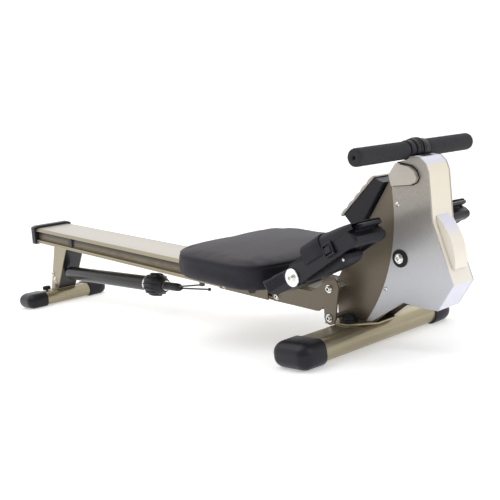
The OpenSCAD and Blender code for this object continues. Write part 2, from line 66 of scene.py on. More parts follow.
# Places that the pieces share, in millimetres
RAIL_REAR = (-856, 278)
RAIL_TILT = 6.0
SEAT_X = 1187
WHEEL = (780, 202)
HANDLE = (815, 422)
PEDAL_AXLE = (614, 185)
FOLD_PIVOT = (606, 137)
LOCK_BOLT = (597, 70)
STAY_START = (-757, -12, 110)
STAY_TILT = 1.6
STAY_LENGTH = 520
CONSOLE_FACE = (641, 297)
CONSOLE_TILT = math.degrees(math.atan2(75, 96))
STRAP_SPOT = (680, -143, 242)
STRAP_TILT = -24
COVER_FACE = 36.0
AXLE_END = 39

# The camera: turn, rise and roll in degrees, then what it looks at and from how far, in metres
CAMERA_ANGLES = (50.543, 7.044, -7.148)
CAMERA_TARGET = (0.255, 0, 0.205338)
CAMERA_DISTANCE = 2.063977

# The world's light: the side that it comes from, and how its strength rises towards there
WORLD_SIDE = (-0.72, 0.60, 0.35)
WORLD_RISE = {"From Min": -0.55, "From Max": 0.35, "To Min": 0.38, "To Max": 1.03}
FLOOR_HALF = 60


def tone(red, green, blue):
    """A colour given as the eye sees it, from 0 to 1, in the linear values that shaders use."""
    return tuple(((c + 0.055) / 1.055) ** 2.4 if c > 0.04 else c / 12.92 for c in (red, green, blue))


# ---------------------------------------------------------------- settings


def colour(name, description, value):
    return FloatVectorProperty(
        name=name, description=description, subtype="COLOR", size=3, min=0, max=1, default=tone(*value)
    )


class RowerColours(PropertyGroup):
    """Colours of the machine's finishes."""

    gold: colour("Gold", "Painted metal of the rail, the feet and the leg", (0.64, 0.60, 0.50))
    bronze: colour("Bronze", "Painted metal of the frame plates", (0.47, 0.43, 0.37))
    cover: colour("Cover", "Lower part of the side covers", (0.75, 0.755, 0.775))
    cover_top: colour("Cover top", "Upper part of the side covers", (0.62, 0.59, 0.545))
    cream: colour("Cream", "Front panel and wheel guard", (0.90, 0.865, 0.79))
    plastic: colour("Plastic", "Moulded black plastic", (0.125, 0.125, 0.15))
    foam: colour("Foam", "Foam of the grips", (0.20, 0.20, 0.21))
    vinyl: colour("Vinyl", "Cover of the seat", (0.215, 0.20, 0.22))
    plate: colour("Rail plate", "Plate along the top of the rail", (0.82, 0.795, 0.755))


class RowerSizes(PropertyGroup):
    """Sizes of the pieces that are made here."""

    seat_half_length: FloatProperty(
        name="Seat half length", description="Half of the seat along the rail", default=0.175, unit="LENGTH"
    )
    seat_half_width: FloatProperty(
        name="Seat half width", description="Half of the seat across the rail", default=0.202, unit="LENGTH"
    )
    seat_crown: FloatProperty(
        name="Seat crown", description="Rise of the seat's middle", default=0.008, unit="LENGTH"
    )
    seat_swell: FloatProperty(
        name="Seat swell", description="Most that the filling pushes the cover out", default=0.003, unit="LENGTH"
    )
    grip_radius: FloatProperty(
        name="Grip radius", description="Radius of the foam grips", default=0.018, unit="LENGTH"
    )
    edge: FloatProperty(
        name="Edge", description="Rounding of a folded or cut metal edge", default=0.0008, unit="LENGTH"
    )
    moulded_edge: FloatProperty(
        name="Moulded edge", description="Rounding of a moulded shell's edge", default=0.002, unit="LENGTH"
    )
    knob_flutes: IntProperty(
        name="Knob ribs", description="Ribs around the clamp knob", default=14, min=6, max=24
    )
    strap_rib: FloatProperty(
        name="Strap rib", description="Pitch of the ribs woven across the foot strap", default=0.0022, unit="LENGTH"
    )


class RowerStage(PropertyGroup):
    """Floor, light and camera."""

    floor: colour("Floor", "Colour of the floor", (0.93, 0.93, 0.93))
    key: FloatProperty(name="Key light", description="Power of the large light above", default=22, unit="POWER")
    side: FloatProperty(name="Side light", description="Power of the light at the front end", default=11, unit="POWER")
    lens: FloatProperty(name="Lens", description="Focal length", default=57.10, subtype="DISTANCE_CAMERA")


def sizes():
    return bpy.context.scene.rower_sizes


def colours():
    return bpy.context.scene.rower_colours


# ---------------------------------------------------------------- shader maths


class Wire:
    """A shader output that can be used in an expression."""

    def __init__(self, finish, socket):
        self.finish = finish
        self.socket = socket

    def using(self, operation, other, swapped=False):
        pair = (other, self) if swapped else (self, other)
        return self.finish.node("ShaderNodeMath", {"operation": operation}, {0: pair[0], 1: pair[1]})

    def __add__(self, other):
        return self.using("ADD", other)

    __radd__ = __add__

    def __mul__(self, other):
        return self.using("MULTIPLY", other)

    __rmul__ = __mul__

    def __sub__(self, other):
        return self.using("SUBTRACT", other)

    def __rsub__(self, other):
        return self.using("SUBTRACT", other, swapped=True)

    def __gt__(self, other):
        return self.using("GREATER_THAN", other)

    def __lt__(self, other):
        return self.using("LESS_THAN", other)

    def wave(self):
        return self.finish.node("ShaderNodeMath", {"operation": "SINE"}, {0: self})

    def size(self):
        return self.finish.node("ShaderNodeMath", {"operation": "ABSOLUTE"}, {0: self})

    def ramp(self, low, high):
        """0 at low, 1 at high, smooth between."""
        settings = {"interpolation_type": "SMOOTHSTEP"}
        return self.finish.node("ShaderNodeMapRange", settings, {0: self, 1: low, 2: high})


class Finish:
    """One material: a Principled shader and the nodes that vary it over the surface."""

    def __init__(self, name):
        self.material = bpy.data.materials.new(name)
        self.material.use_nodes = True
        self.tree = self.material.node_tree
        self.tree.nodes.clear()
        self.surface = self.tree.nodes.new("ShaderNodeBsdfPrincipled")
        out = self.tree.nodes.new("ShaderNodeOutputMaterial")
        self.tree.links.new(self.surface.outputs[0], out.inputs[0])
        self.place = self.node("ShaderNodeTexCoord", output="Object")

    def node(self, kind, settings=None, inputs=None, output=0):
        """Adds a node: its settings first, then the values or links of its sockets."""
        node = self.tree.nodes.new(kind)
        for key, value in (settings or {}).items():
            setattr(node, key, value)
        for key, value in (inputs or {}).items():
            self.put(node.inputs[key], value)
        return Wire(self, node.outputs[output])

    def put(self, socket, value):
        if isinstance(value, Wire):
            self.tree.links.new(value.socket, socket)
        else:
            socket.default_value = value

    def along(self, axis):
        return self.node("ShaderNodeSeparateXYZ", None, {0: self.place}, axis)

    def uv(self, axis):
        return self.node("ShaderNodeSeparateXYZ", None, {0: self.node("ShaderNodeTexCoord", output="UV")}, axis)

    def stretched(self, scale, turn=(0, 0, 0)):
        return self.node("ShaderNodeMapping", None, {"Vector": self.place, "Rotation": turn, "Scale": scale})

    def noise(self, scale, detail=3.0, roughness=0.55, vector=None):
        inputs = {"Vector": vector or self.place, "Scale": scale, "Detail": detail, "Roughness": roughness}
        return self.node("ShaderNodeTexNoise", None, inputs)

    def cells(self, scale, feature="F1", vector=None):
        inputs = {"Vector": vector or self.place, "Scale": scale}
        return self.node("ShaderNodeTexVoronoi", {"feature": feature}, inputs)

    def blend(self, share, first, second):
        pair = [c if isinstance(c, Wire) else (*c, 1.0) for c in (first, second)]
        return self.node("ShaderNodeMix", {"data_type": "RGBA"}, {0: share, 6: pair[0], 7: pair[1]}, 2)

    def varied(self, base, scale=14.0, amount=0.08):
        """A colour that drifts lighter and darker in soft patches."""
        dark = tuple(c * (1 - amount) for c in base)
        light = tuple(min(1.0, c * (1 + amount)) for c in base)
        return self.blend(self.noise(scale, 2.0).ramp(0.3, 0.7), dark, light)

    def bump(self, height, strength, depth, under=None):
        inputs = {"Strength": strength, "Distance": depth, "Height": height}
        if under:
            inputs["Normal"] = under
        return self.node("ShaderNodeBump", None, inputs)

    def edges(self):
        """1 on outward edges, where a finish wears first."""
        return self.node("ShaderNodeNewGeometry", output="Pointiness").ramp(0.52, 0.60)

    def done(self, **sockets):
        for key, value in sockets.items():
            name = key.replace("_", " ").title().replace("Ior", "IOR")
            if name.endswith("Color") and isinstance(value, tuple):
                value = (*value, 1.0)
            self.put(self.surface.inputs[name], value)
        return self.material


MADE = {}


def finish(maker):
    """Makes each material once."""

    def once(*args):
        key = (maker.__name__, *args)
        if key not in MADE:
            MADE[key] = maker(*args)
        return MADE[key]

    return once


def painted(name, base, metallic, rough, coat=0.2):
    f = Finish(name)
    flake = f.noise(900.0, 2.0)
    peel = f.noise(220.0, 2.0)
    paint = f.blend(flake.ramp(0.35, 0.7), tuple(c * 0.93 for c in base), tuple(min(1, c * 1.07) for c in base))
    paint = f.blend(f.noise(9.0, 3.0).ramp(0.3, 0.75) * 0.35, paint, tuple(c * 0.86 for c in base))
    return f.done(
        base_color=paint,
        metallic=metallic,
        roughness=rough + (f.noise(60.0, 3.0) - 0.5) * 0.12,
        coat_weight=coat,
        coat_roughness=0.12,
        normal=f.bump(peel, 0.02, 0.0006),
    )


@finish
def gold_paint():
    return painted("champagne_paint", tuple(colours().gold), 0.78, 0.30)


@finish
def bronze_paint():
    return painted("bronze_paint", tuple(colours().bronze), 0.55, 0.42, 0.1)


@finish
def rail_paint():
    """Champagne paint; the side channels where the rollers run are darker, with worn streaks and painted shade that
    deepens towards their top, under the rail's lip.
    """
    f = Finish("rail_paint")
    gold = tuple(colours().gold)
    flake = f.noise(900.0, 2.0)
    paint = f.blend(flake.ramp(0.35, 0.7), tuple(c * 0.93 for c in gold), tuple(min(1, c * 1.08) for c in gold))
    inside = (f.along("Y").size() < 0.0672) * (f.along("Y").size() > 0.0565)
    slope = math.tan(math.radians(RAIL_TILT))
    depth = (f.along("Z") + f.along("X") * slope) - (RAIL_REAR[1] + RAIL_REAR[0] * slope) * MM
    channel = inside * (depth < -0.0085) * (depth > -0.0406)
    streak = f.noise(5.0, 3.0, 0.5, f.stretched((6.0, 60.0, 60.0)))
    channel_wear_and_shade = f.blend(streak.ramp(0.35, 0.7), tone(0.42, 0.37, 0.28), tone(0.50, 0.455, 0.35))
    # Painted shade: the channel darkens towards its top, under the rail's lip.
    channel_wear_and_shade = f.blend(depth.ramp(-0.031, -0.013), channel_wear_and_shade, tone(0.17, 0.145, 0.12))
    return f.done(
        base_color=f.blend(channel, paint, channel_wear_and_shade),
        metallic=0.7 - channel * 0.3,
        roughness=0.33 + channel * 0.14 + (streak - 0.5) * 0.08,
        coat_weight=0.2,
        coat_roughness=0.12,
        normal=f.bump(f.noise(220.0, 2.0), 0.05, 0.0006),
    )


@finish
def brushed_plate():
    """Anodised plate with fine lines along the rail."""
    f = Finish("brushed_plate")
    lines = f.noise(3.0, 4.0, 0.6, f.stretched((4.0, 1400.0, 60.0)))
    base = tuple(colours().plate)
    track = (f.along("Y").size() - 0.040).size()
    rubbed = 1 - track.ramp(0.004, 0.012)
    return f.done(
        base_color=f.blend(
            rubbed * 0.18, f.blend(lines.ramp(0.3, 0.7), tuple(c * 0.92 for c in base), base), tone(0.72, 0.71, 0.70)
        ),
        metallic=0.45,
        roughness=0.34 + (lines - 0.5) * 0.18,
        normal=f.bump(lines, 0.10, 0.0003),
    )


@finish
def cover_paint():
    """Silver paint of the side covers, warmer towards the top."""
    f = Finish("cover_paint")
    low, high = tuple(colours().cover), tuple(colours().cover_top)
    base = f.blend(f.along("Z").ramp(0.14, 0.34), low, high)
    flake = f.noise(1100.0, 2.0)
    base = f.blend(flake.ramp(0.4, 0.7) * 0.35, base, tone(0.86, 0.86, 0.88))
    return f.done(
        base_color=base,
        metallic=0.55,
        roughness=0.36 + (flake - 0.5) * 0.10,
        coat_weight=0.3,
        coat_roughness=0.1,
        normal=f.bump(f.noise(160.0, 2.0), 0.04, 0.0006),
    )


@finish
def cap_paint():
    f = Finish("cap_paint")
    base = tone(0.74, 0.71, 0.67)
    flake = f.noise(1100.0, 2.0)
    return f.done(
        base_color=f.blend(flake.ramp(0.4, 0.7) * 0.3, base, tone(0.86, 0.85, 0.83)),
        metallic=0.45,
        roughness=0.34,
        coat_weight=0.3,
        normal=f.bump(f.noise(160.0, 2.0), 0.04, 0.0006),
    )


@finish
def cream_plastic():
    f = Finish("cream_plastic")
    base = tuple(colours().cream)
    grain = f.cells(900.0)
    # Painted light: low down the cream turns whiter, where the light falls strongest; random patches of cream tone
    # follow.
    painted_light_and_tone = f.blend(f.along("Z").ramp(0.12, 0.40), tone(0.94, 0.92, 0.88), base)
    # Painted reflection and shade: faces turned up or down take a lavender tint.
    tilt = f.node("ShaderNodeSeparateXYZ", None, {0: f.node("ShaderNodeNewGeometry", output="Normal")}, "Z").size()
    painted_light_and_tone = f.blend(f.noise(11.0, 3.0).ramp(0.35, 0.7) * 0.25, painted_light_and_tone, tone(0.90, 0.86, 0.79))
    return f.done(
        base_color=f.blend(tilt.ramp(0.30, 0.55), painted_light_and_tone, tone(0.86, 0.86, 0.915)),
        roughness=0.36 + (f.noise(45.0, 3.0) - 0.5) * 0.12,
        coat_weight=0.15,
        normal=f.bump(grain, 0.05, 0.0003),
    )


@finish
def moulded_plastic(name="moulded_plastic", rough=0.42, shade=1.0):
    """Black plastic with a fine spark-eroded grain."""
    f = Finish(name)
    base = tuple(c * shade for c in colours().plastic)
    grain = f.cells(1100.0)
    scuff = f.noise(34.0, 4.0, 0.6)
    paint = f.blend(scuff.ramp(0.55, 0.8) * 0.3, base, tuple(c * 1.6 + 0.004 for c in base))
    return f.done(
        base_color=f.blend(f.edges() * 0.35, paint, tuple(c * 2.4 + 0.01 for c in base)),
        specular_ior_level=0.26,
        roughness=rough + (scuff - 0.5) * 0.16,
        normal=f.bump(grain, 0.16, 0.0004),
    )


@finish
def foam_rubber():
    """Closed-cell foam: matt, with open pores."""
    f = Finish("grip_foam")
    base = tuple(colours().foam)
    pores = f.cells(620.0, "F1")
    fine = f.noise(1500.0, 3.0, 0.7)
    dusty = f.noise(26.0, 3.0)
    dark = tuple(c * 0.5 for c in base)
    # Painted shade: the pores are darker than the foam between them.
    body = f.blend(pores.ramp(0.15, 0.5), dark, base)
    body = f.blend(dusty.ramp(0.45, 0.8) * 0.35, body, tuple(c * 1.5 for c in base))
    return f.done(
        base_color=body,
        specular_ior_level=0.3,
        roughness=0.84 + (fine - 0.5) * 0.12,
        normal=f.bump(fine, 0.35, 0.0005, f.bump(pores, 0.6, 0.0007)),
    )


@finish
def rubber(name="ring_rubber"):
    f = Finish(name)
    base = tuple(c * 0.85 for c in colours().plastic)
    return f.done(
        base_color=f.blend(f.noise(40.0, 3.0).ramp(0.4, 0.8) * 0.4, base, tuple(c * 1.9 for c in base)),
        specular_ior_level=0.28,
        roughness=0.46 + (f.noise(80.0, 2.0) - 0.5) * 0.14,
        normal=f.bump(f.noise(1300.0, 2.0), 0.12, 0.0004),
    )


@finish
def seat_vinyl():
    """Upholstery vinyl: small leather grain, slightly shinier where it is sat on."""
    f = Finish("seat_vinyl")
    base = tuple(colours().vinyl)
    pebble = f.cells(520.0, "SMOOTH_F1")
    crease = f.node("ShaderNodeTexVoronoi", {"feature": "DISTANCE_TO_EDGE"}, {"Vector": f.place, "Scale": 430.0})
    soft = f.noise(17.0, 3.0)
    body = f.blend(soft.ramp(0.35, 0.7), tuple(c * 0.86 for c in base), tuple(c * 1.1 for c in base))
    # Painted shade: the creases of the grain are darker.
    body = f.blend((1 - crease.ramp(0.0, 0.12)) * 0.45, body, tuple(c * 0.45 for c in base))
    slope = math.tan(math.radians(RAIL_TILT))
    above_rail = f.along("Z") + f.along("X") * slope - (RAIL_REAR[1] + RAIL_REAR[0] * slope) * MM
    top = above_rail.ramp(0.0585, 0.066)
    # Painted shade: the sides below the top panel take a darker, bluer vinyl than the top.
    side = tone(0.12, 0.12, 0.155)
    shaded_side_body = f.blend(soft.ramp(0.35, 0.7), tuple(c * 0.85 for c in side), tuple(c * 1.15 for c in side))
    return f.done(
        base_color=f.blend(top, shaded_side_body, body),
        specular_ior_level=0.28,
        roughness=0.56 - top * 0.06 + (soft - 0.5) * 0.14,
        normal=f.bump(pebble, 0.22, 0.0005, f.bump(crease, 0.20, 0.0005)),
    )


@finish
def webbing():
    """Ribbed strap: the ribs run across it, and a finer thread runs along it."""
    f = Finish("strap_webbing")
    base = tuple(c * 0.9 for c in colours().plastic)
    pitch = math.tau / sizes().strap_rib
    ribs = (f.uv("X") * pitch).wave()
    threads = (f.uv("Y") * (math.tau / 0.0011)).wave()
    # Painted shade and highlight: the troughs between the ribs are darker and their crests lighter.
    body = f.blend(ribs.ramp(-0.6, 0.8), tuple(c * 0.6 for c in base), tuple(c * 1.5 for c in base))
    return f.done(
        base_color=f.blend(f.noise(30.0, 3.0).ramp(0.4, 0.8) * 0.3, body, tuple(c * 2.0 for c in base)),
        specular_ior_level=0.3,
        roughness=0.66 + threads * 0.05,
        normal=f.bump(ribs + threads * 0.4, 0.5, 0.0005),
    )


@finish
def zinc(name="zinc_plate", bright=0.9, rough=0.22):
    f = Finish(name)
    scratch = f.noise(4.0, 4.0, 0.6, f.stretched((30.0, 260.0, 30.0)))
    base = tone(bright, bright, bright * 0.985)
    return f.done(
        base_color=f.blend(f.noise(70.0, 3.0).ramp(0.5, 0.8) * 0.35, base, tone(bright * 0.82, bright * 0.8, bright * 0.77)),
        metallic=0.9,
        roughness=rough + (scratch - 0.5) * 0.16,
        normal=f.bump(scratch, 0.06, 0.0003),
    )


def bolt_zinc():
    """The brighter zinc of the bolt heads."""
    return zinc("bolt_zinc", 0.94, 0.2)


@finish
def dark_metal():
    f = Finish("dark_metal")
    cast = f.noise(120.0, 4.0, 0.6)
    return f.done(
        base_color=f.blend(cast.ramp(0.3, 0.75), tone(0.24, 0.24, 0.25), tone(0.40, 0.40, 0.41)),
        metallic=0.8,
        roughness=0.46 + (cast - 0.5) * 0.2,
        normal=f.bump(cast, 0.12, 0.0005),
    )


@finish
def black_gloss():
    """Powder coat on the stay and the leg's front panel."""
    f = Finish("black_powder_coat")
    peel = f.noise(260.0, 2.0)
    base = tone(0.13, 0.13, 0.145)
    return f.done(
        base_color=f.blend(f.noise(22.0, 3.0).ramp(0.45, 0.8) * 0.4, base, tone(0.21, 0.21, 0.225)),
        specular_ior_level=0.35,
        roughness=0.30 + (f.noise(50.0, 3.0) - 0.5) * 0.12,
        coat_weight=0.3,
        coat_roughness=0.15,
        normal=f.bump(peel, 0.12, 0.0006),
    )


@finish
def display():
    """Grey liquid-crystal panel with plain bars, no figures."""
    f = Finish("display")
    bars = ((f.along("Y") * (math.tau / 0.011)).wave() > 0.35) * ((f.along("Z") * (math.tau / 0.013)).wave() > 0.45)
    return f.done(
        base_color=f.blend(bars * 0.5, tone(0.56, 0.60, 0.54), tone(0.25, 0.28, 0.26)),
        roughness=0.16 + f.noise(40.0, 2.0) * 0.06,
        coat_weight=0.6,
        coat_roughness=0.05,
    )


# ---------------------------------------------------------------- making and placing pieces


def linked(name, mesh):
    piece = bpy.data.objects.new(name, mesh)
    bpy.context.scene.collection.objects.link(piece)
    return piece


def solid(name, points, faces, smooth=True, scale=MM):
    """A closed mesh from points in millimetres, its faces turned outwards."""
    mesh = bpy.data.meshes.new(name)
    mesh.from_pydata([tuple(c * scale for c in p) for p in points], [], faces)
    shape = bmesh.new()
    shape.from_mesh(mesh)
    bmesh.ops.remove_doubles(shape, verts=shape.verts, dist=1e-6)
    bmesh.ops.recalc_face_normals(shape, faces=shape.faces)
    shape.to_mesh(mesh)
    shape.free()
    mesh.polygons.foreach_set("use_smooth", [smooth] * len(mesh.polygons))
    return linked(name, mesh)


def shaded(piece, material):
    piece.data.materials.clear()
    piece.data.materials.append(material)
    return piece


def placed(piece, material, body, replaces=()):
    shaded(piece, material)
    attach(piece, body)
    if replaces:
        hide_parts(*replaces)
    return piece


def refinish(material, *nodes):
    """Gives CAD nodes whose shape is right a better material."""
    for node in nodes:
        data = NODES[node].data
        for i in range(max(1, len(data.materials))):
            if data.materials:
                data.materials[i] = material
            else:
                data.materials.append(material)


def applied(piece):
    """The piece with its modifiers made part of its mesh."""
    graph = bpy.context.evaluated_depsgraph_get()
    graph.update()
    mesh = bpy.data.meshes.new_from_object(piece.evaluated_get(graph), depsgraph=graph)
    piece.modifiers.clear()
    piece.data = mesh
    return piece


def eased(piece, width, segments=2, angle=32):
    """Rounds the piece's sharp edges."""
    bevel = piece.modifiers.new("Edges", "BEVEL")
    bevel.width = width
    bevel.segments = segments
    bevel.limit_method = "ANGLE"
    bevel.angle_limit = math.radians(angle)
    bevel.use_clamp_overlap = True
    piece.data.polygons.foreach_set("use_smooth", [True] * len(piece.data.polygons))
    flatter = piece.modifiers.new("Flatter", "WEIGHTED_NORMAL")
    flatter.weight = 100
    flatter.keep_sharp = False
    return applied(piece)


def keep_creases(piece, angle=35):
    piece.data.set_sharp_from_angle(angle=math.radians(angle))
    return piece


def rounded_copy(node, width, segments=2):
    """A copy of a CAD node with its edges eased, to stand for it."""
    mesh = NODES[node].data.copy()
    shape = bmesh.new()
    shape.from_mesh(mesh)
    bmesh.ops.remove_doubles(shape, verts=shape.verts, dist=2e-5)
    bmesh.ops.dissolve_limit(shape, angle_limit=math.radians(1.2), verts=shape.verts, edges=shape.edges)
    shape.to_mesh(mesh)
    shape.free()
    mesh.name = node + "_shape"
    return eased(linked(node + "_finished", mesh), width, segments)


def prism(outline, y0, y1):
    """An XZ outline made solid between two Y values, as points and faces."""
    n = len(outline)
    points = [(x, y, z) for y in (y0, y1) for x, z in outline]
    faces = [tuple(range(n)), tuple(range(2 * n - 1, n - 1, -1))]
    faces += [(i, i + n, (i + 1) % n + n, (i + 1) % n) for i in range(n)]
    return points, faces


def turned(profile, place, segments=48):
    """A profile of (distance along, radius) turned about the local Z of a matrix."""
    points, faces, rings = [], [], []
    for z, r in profile:
        if r <= 0:
            rings.append([len(points)])
            points.append(place @ Vector((0, 0, z)))
        else:
            rings.append(list(range(len(points), len(points) + segments)))
            for i in range(segments):
                a = math.tau * i / segments
                points.append(place @ Vector((r * math.cos(a), r * math.sin(a), z)))
    for low, high in zip(rings, rings[1:]):
        for i in range(segments):
            j = (i + 1) % segments
            corner = [low[i % len(low)], low[j % len(low)], high[j % len(high)], high[i % len(high)]]
            face = tuple(dict.fromkeys(corner))
            if len(face) > 2:
                faces.append(face)
    return [tuple(p) for p in points], faces


def ringed(rings):
    """Rings of equal length joined into one closed shell."""
    n = len(rings[0])
    points = [p for ring in rings for p in ring]
    faces = [tuple(range(n)), tuple(range(len(points) - 1, len(points) - n - 1, -1))]
    for k in range(len(rings) - 1):
        for i in range(n):
            j = (i + 1) % n
            faces.append((k * n + i, k * n + j, (k + 1) * n + j, (k + 1) * n + i))
    return points, faces


def together(*parts):
    """Several shells as one list of points and faces."""
    points, faces = [], []
    for some_points, some_faces in parts:
        faces += [tuple(i + len(points) for i in face) for face in some_faces]
        points += list(some_points)
    return points, faces


def rod(start, end, radius):
    """Outline of a plain rod, for turned()."""
    return [(start, 0), (start, radius), (end, radius), (end, 0)]


def along_y(point, y=0.0):
    """Local Z along -Y, at an XZ point."""
    return Matrix.Translation((point[0], y, point[1])) @ Matrix.Rotation(math.radians(90), 4, "X")


BOTH_WAYS = (Matrix.Identity(4), Matrix.Rotation(math.pi, 4, "X"))


def on_rail(x=0.0):
    tilt = Matrix.Rotation(math.radians(RAIL_TILT), 4, "Y")
    return Matrix.Translation((RAIL_REAR[0], 0, RAIL_REAR[1])) @ tilt @ Matrix.Translation((x, 0, 0))


def rail_point(x, z):
    """XZ of a point given from the seat's centre, along and above the rail."""
    point = on_rail(SEAT_X) @ Vector((x, 0, z))
    return point.x, point.z


def on_stay(x=0.0):
    turn = Matrix.Rotation(math.radians(90 + STAY_TILT), 4, "Y")
    return Matrix.Translation(STAY_START) @ turn @ Matrix.Translation((0, 0, x))


def box(matrix, low, high):
    points = [matrix @ Vector((x, y, z)) for z in (low[2], high[2]) for x, y in
              ((low[0], low[1]), (high[0], low[1]), (high[0], high[1]), (low[0], high[1]))]
    faces = [(3, 2, 1, 0), (4, 5, 6, 7), (0, 1, 5, 4), (1, 2, 6, 5), (2, 3, 7, 6), (3, 0, 4, 7)]
    return [tuple(p) for p in points], faces


def moulding(name, parts, voxel, smoothing=4):
    """Overlapping shells melted into one moulded body with soft inner corners."""
    piece = solid(name, *together(*parts))
    remesh = piece.modifiers.new("Melt", "REMESH")
    remesh.mode = "VOXEL"
    remesh.voxel_size = voxel
    remesh.use_smooth_shade = True
    soften = piece.modifiers.new("Soften", "SMOOTH")
    soften.factor = 0.5
    soften.iterations = smoothing
    return applied(piece)


def mirrored(piece, name):
    """The same piece on the other side of the middle plane."""
    mesh = piece.data.copy()
    mesh.transform(Matrix.Scale(-1, 4, (0, 1, 0)))
    mesh.flip_normals()
    return linked(name, mesh)


# ---------------------------------------------------------------- repeated pieces, as node trees


class Growth:
    """A geometry node tree with named inputs."""

    def __init__(self, name, **inputs):
        self.tree = bpy.data.node_groups.new(name, "GeometryNodeTree")
        face = self.tree.interface
        face.new_socket("Geometry", in_out="INPUT", socket_type="NodeSocketGeometry")
        for label, (kind, value) in inputs.items():
            item = face.new_socket(label.replace("_", " "), in_out="INPUT", socket_type="NodeSocket" + kind)
            if value is not None:
                item.default_value = value
        face.new_socket("Geometry", in_out="OUTPUT", socket_type="NodeSocketGeometry")
        self.start = self.tree.nodes.new("NodeGroupInput")
        self.end = self.tree.nodes.new("NodeGroupOutput")

    def given(self, label):
        return self.start.outputs[label.replace("_", " ")]

    def node(self, kind, settings=None, inputs=None, output=0):
        node = self.tree.nodes.new(kind)
        for key, value in (settings or {}).items():
            setattr(node, key, value)
        for key, value in (inputs or {}).items():
            if isinstance(value, (list, tuple)) and value and hasattr(value[0], "node"):
                for each in value:
                    self.tree.links.new(each, node.inputs[key])
            elif hasattr(value, "node"):
                self.tree.links.new(value, node.inputs[key])
            else:
                node.inputs[key].default_value = value
        return node.outputs[output]

    def finished(self, geometry):
        """Ends the tree with real geometry in the chosen material."""
        real = self.node("GeometryNodeRealizeInstances", None, {0: geometry})
        painted_mesh = self.node("GeometryNodeSetMaterial", None, {"Geometry": real, "Material": self.given("Material")})
        self.tree.links.new(painted_mesh, self.end.inputs[0])
        return self.tree


def grown(name, tree, points, facings, sizes_at, material, **values):
    """One plain mesh grown by a tree on the given points."""
    mesh = bpy.data.meshes.new(name)
    mesh.from_pydata([tuple(c * MM for c in p) for p in points], [], [])
    mesh.attributes.new("facing", "FLOAT_VECTOR", "POINT").data.foreach_set(
        "vector", [c for f in facings for c in Vector(f).normalized()]
    )
    mesh.attributes.new("girth", "FLOAT", "POINT").data.foreach_set("value", [s * MM for s in sizes_at])
    piece = linked(name, mesh)
    modifier = piece.modifiers.new("Grow", "NODES")
    modifier.node_group = tree
    values["Material"] = material
    for item in tree.interface.items_tree:
        key = item.name.replace(" ", "_")
        if item.item_type == "SOCKET" and item.in_out == "INPUT" and key in values:
            modifier[item.identifier] = values[key]
    return applied(piece)


def on_points(tree, shape):
    """Instances of a unit shape at the points, turned to face outwards and sized by girth."""
    facing = tree.node("GeometryNodeInputNamedAttribute", {"data_type": "FLOAT_VECTOR"}, {"Name": "facing"})
    girth = tree.node("GeometryNodeInputNamedAttribute", {"data_type": "FLOAT"}, {"Name": "girth"})
    turn = tree.node("FunctionNodeAlignRotationToVector", {"axis": "Z"}, {"Vector": facing})
    return tree.node(
        "GeometryNodeInstanceOnPoints",
        None,
        {"Points": tree.given("Geometry"), "Instance": shape, "Rotation": turn, "Scale": girth},
    )


def socket_bolt_tree():
    """A washer and a round head with a hexagon socket, one unit in radius."""
    g = Growth("socket_bolt", Washer=("Float", 1.35), Head_height=("Float", 0.7), Socket=("Float", 0.5),
               Material=("Material", None))
    side = {"fill_type": "NGON"}
    washer = g.node("GeometryNodeMeshCylinder", side, {"Vertices": 32, "Radius": g.given("Washer"), "Depth": 0.24})
    head = g.node("GeometryNodeMeshCylinder", side, {"Vertices": 32, "Radius": 1.0, "Depth": g.given("Head_height")})
    half = g.node("ShaderNodeMath", {"operation": "MULTIPLY"}, {0: g.given("Head_height"), 1: 0.5})
    lift = g.node("ShaderNodeCombineXYZ", None, {2: half})
    head = g.node("GeometryNodeTransform", None, {"Geometry": head, "Translation": lift})
    crown = g.node("GeometryNodeMeshCone", side, {"Vertices": 32, "Radius Top": 0.78, "Radius Bottom": 1.0, "Depth": 0.2})
    top = g.node("ShaderNodeCombineXYZ", None, {2: g.given("Head_height")})
    crown = g.node("GeometryNodeTransform", None, {"Geometry": crown, "Translation": top})
    key = g.node("GeometryNodeMeshCylinder", side, {"Vertices": 6, "Radius": g.given("Socket"), "Depth": 1.5})
    high = g.node("ShaderNodeMath", {"operation": "ADD"}, {0: g.given("Head_height"), 1: 0.2})
    key = g.node("GeometryNodeTransform", None, {"Geometry": key, "Translation": g.node("ShaderNodeCombineXYZ", None, {2: high})})
    whole = g.node("GeometryNodeMeshBoolean", {"operation": "UNION"}, {"Mesh 2": [washer, head, crown]})
    cut = g.node("GeometryNodeMeshBoolean", {"operation": "DIFFERENCE"}, {"Mesh 1": whole, "Mesh 2": [key]})
    return g.finished(on_points(g, cut))


def cross_screw_tree():
    """A domed screw head with a cross recess, one unit in radius."""
    g = Growth("cross_screw", Dome=("Float", 0.45), Slot=("Float", 0.26), Material=("Material", None))
    ball = g.node("GeometryNodeMeshUVSphere", None, {"Segments": 24, "Rings": 12, "Radius": 1.0})
    flat = g.node("ShaderNodeCombineXYZ", None, {0: 1.0, 1: 1.0, 2: g.given("Dome")})
    dome = g.node("GeometryNodeTransform", None, {"Geometry": ball, "Scale": flat})
    parts = []
    for turn in (0.0, math.pi / 2):
        size = g.node("ShaderNodeCombineXYZ", None, {0: 1.15, 1: g.given("Slot"), 2: 0.6})
        bar = g.node("GeometryNodeMeshCube", None, {"Size": size})
        parts.append(g.node("GeometryNodeTransform", None, {"Geometry": bar, "Translation": (0, 0, 0.5), "Rotation": (0, 0, turn)}))
    cut = g.node("GeometryNodeMeshBoolean", {"operation": "DIFFERENCE"}, {"Mesh 1": dome, "Mesh 2": parts})
    return g.finished(on_points(g, cut))


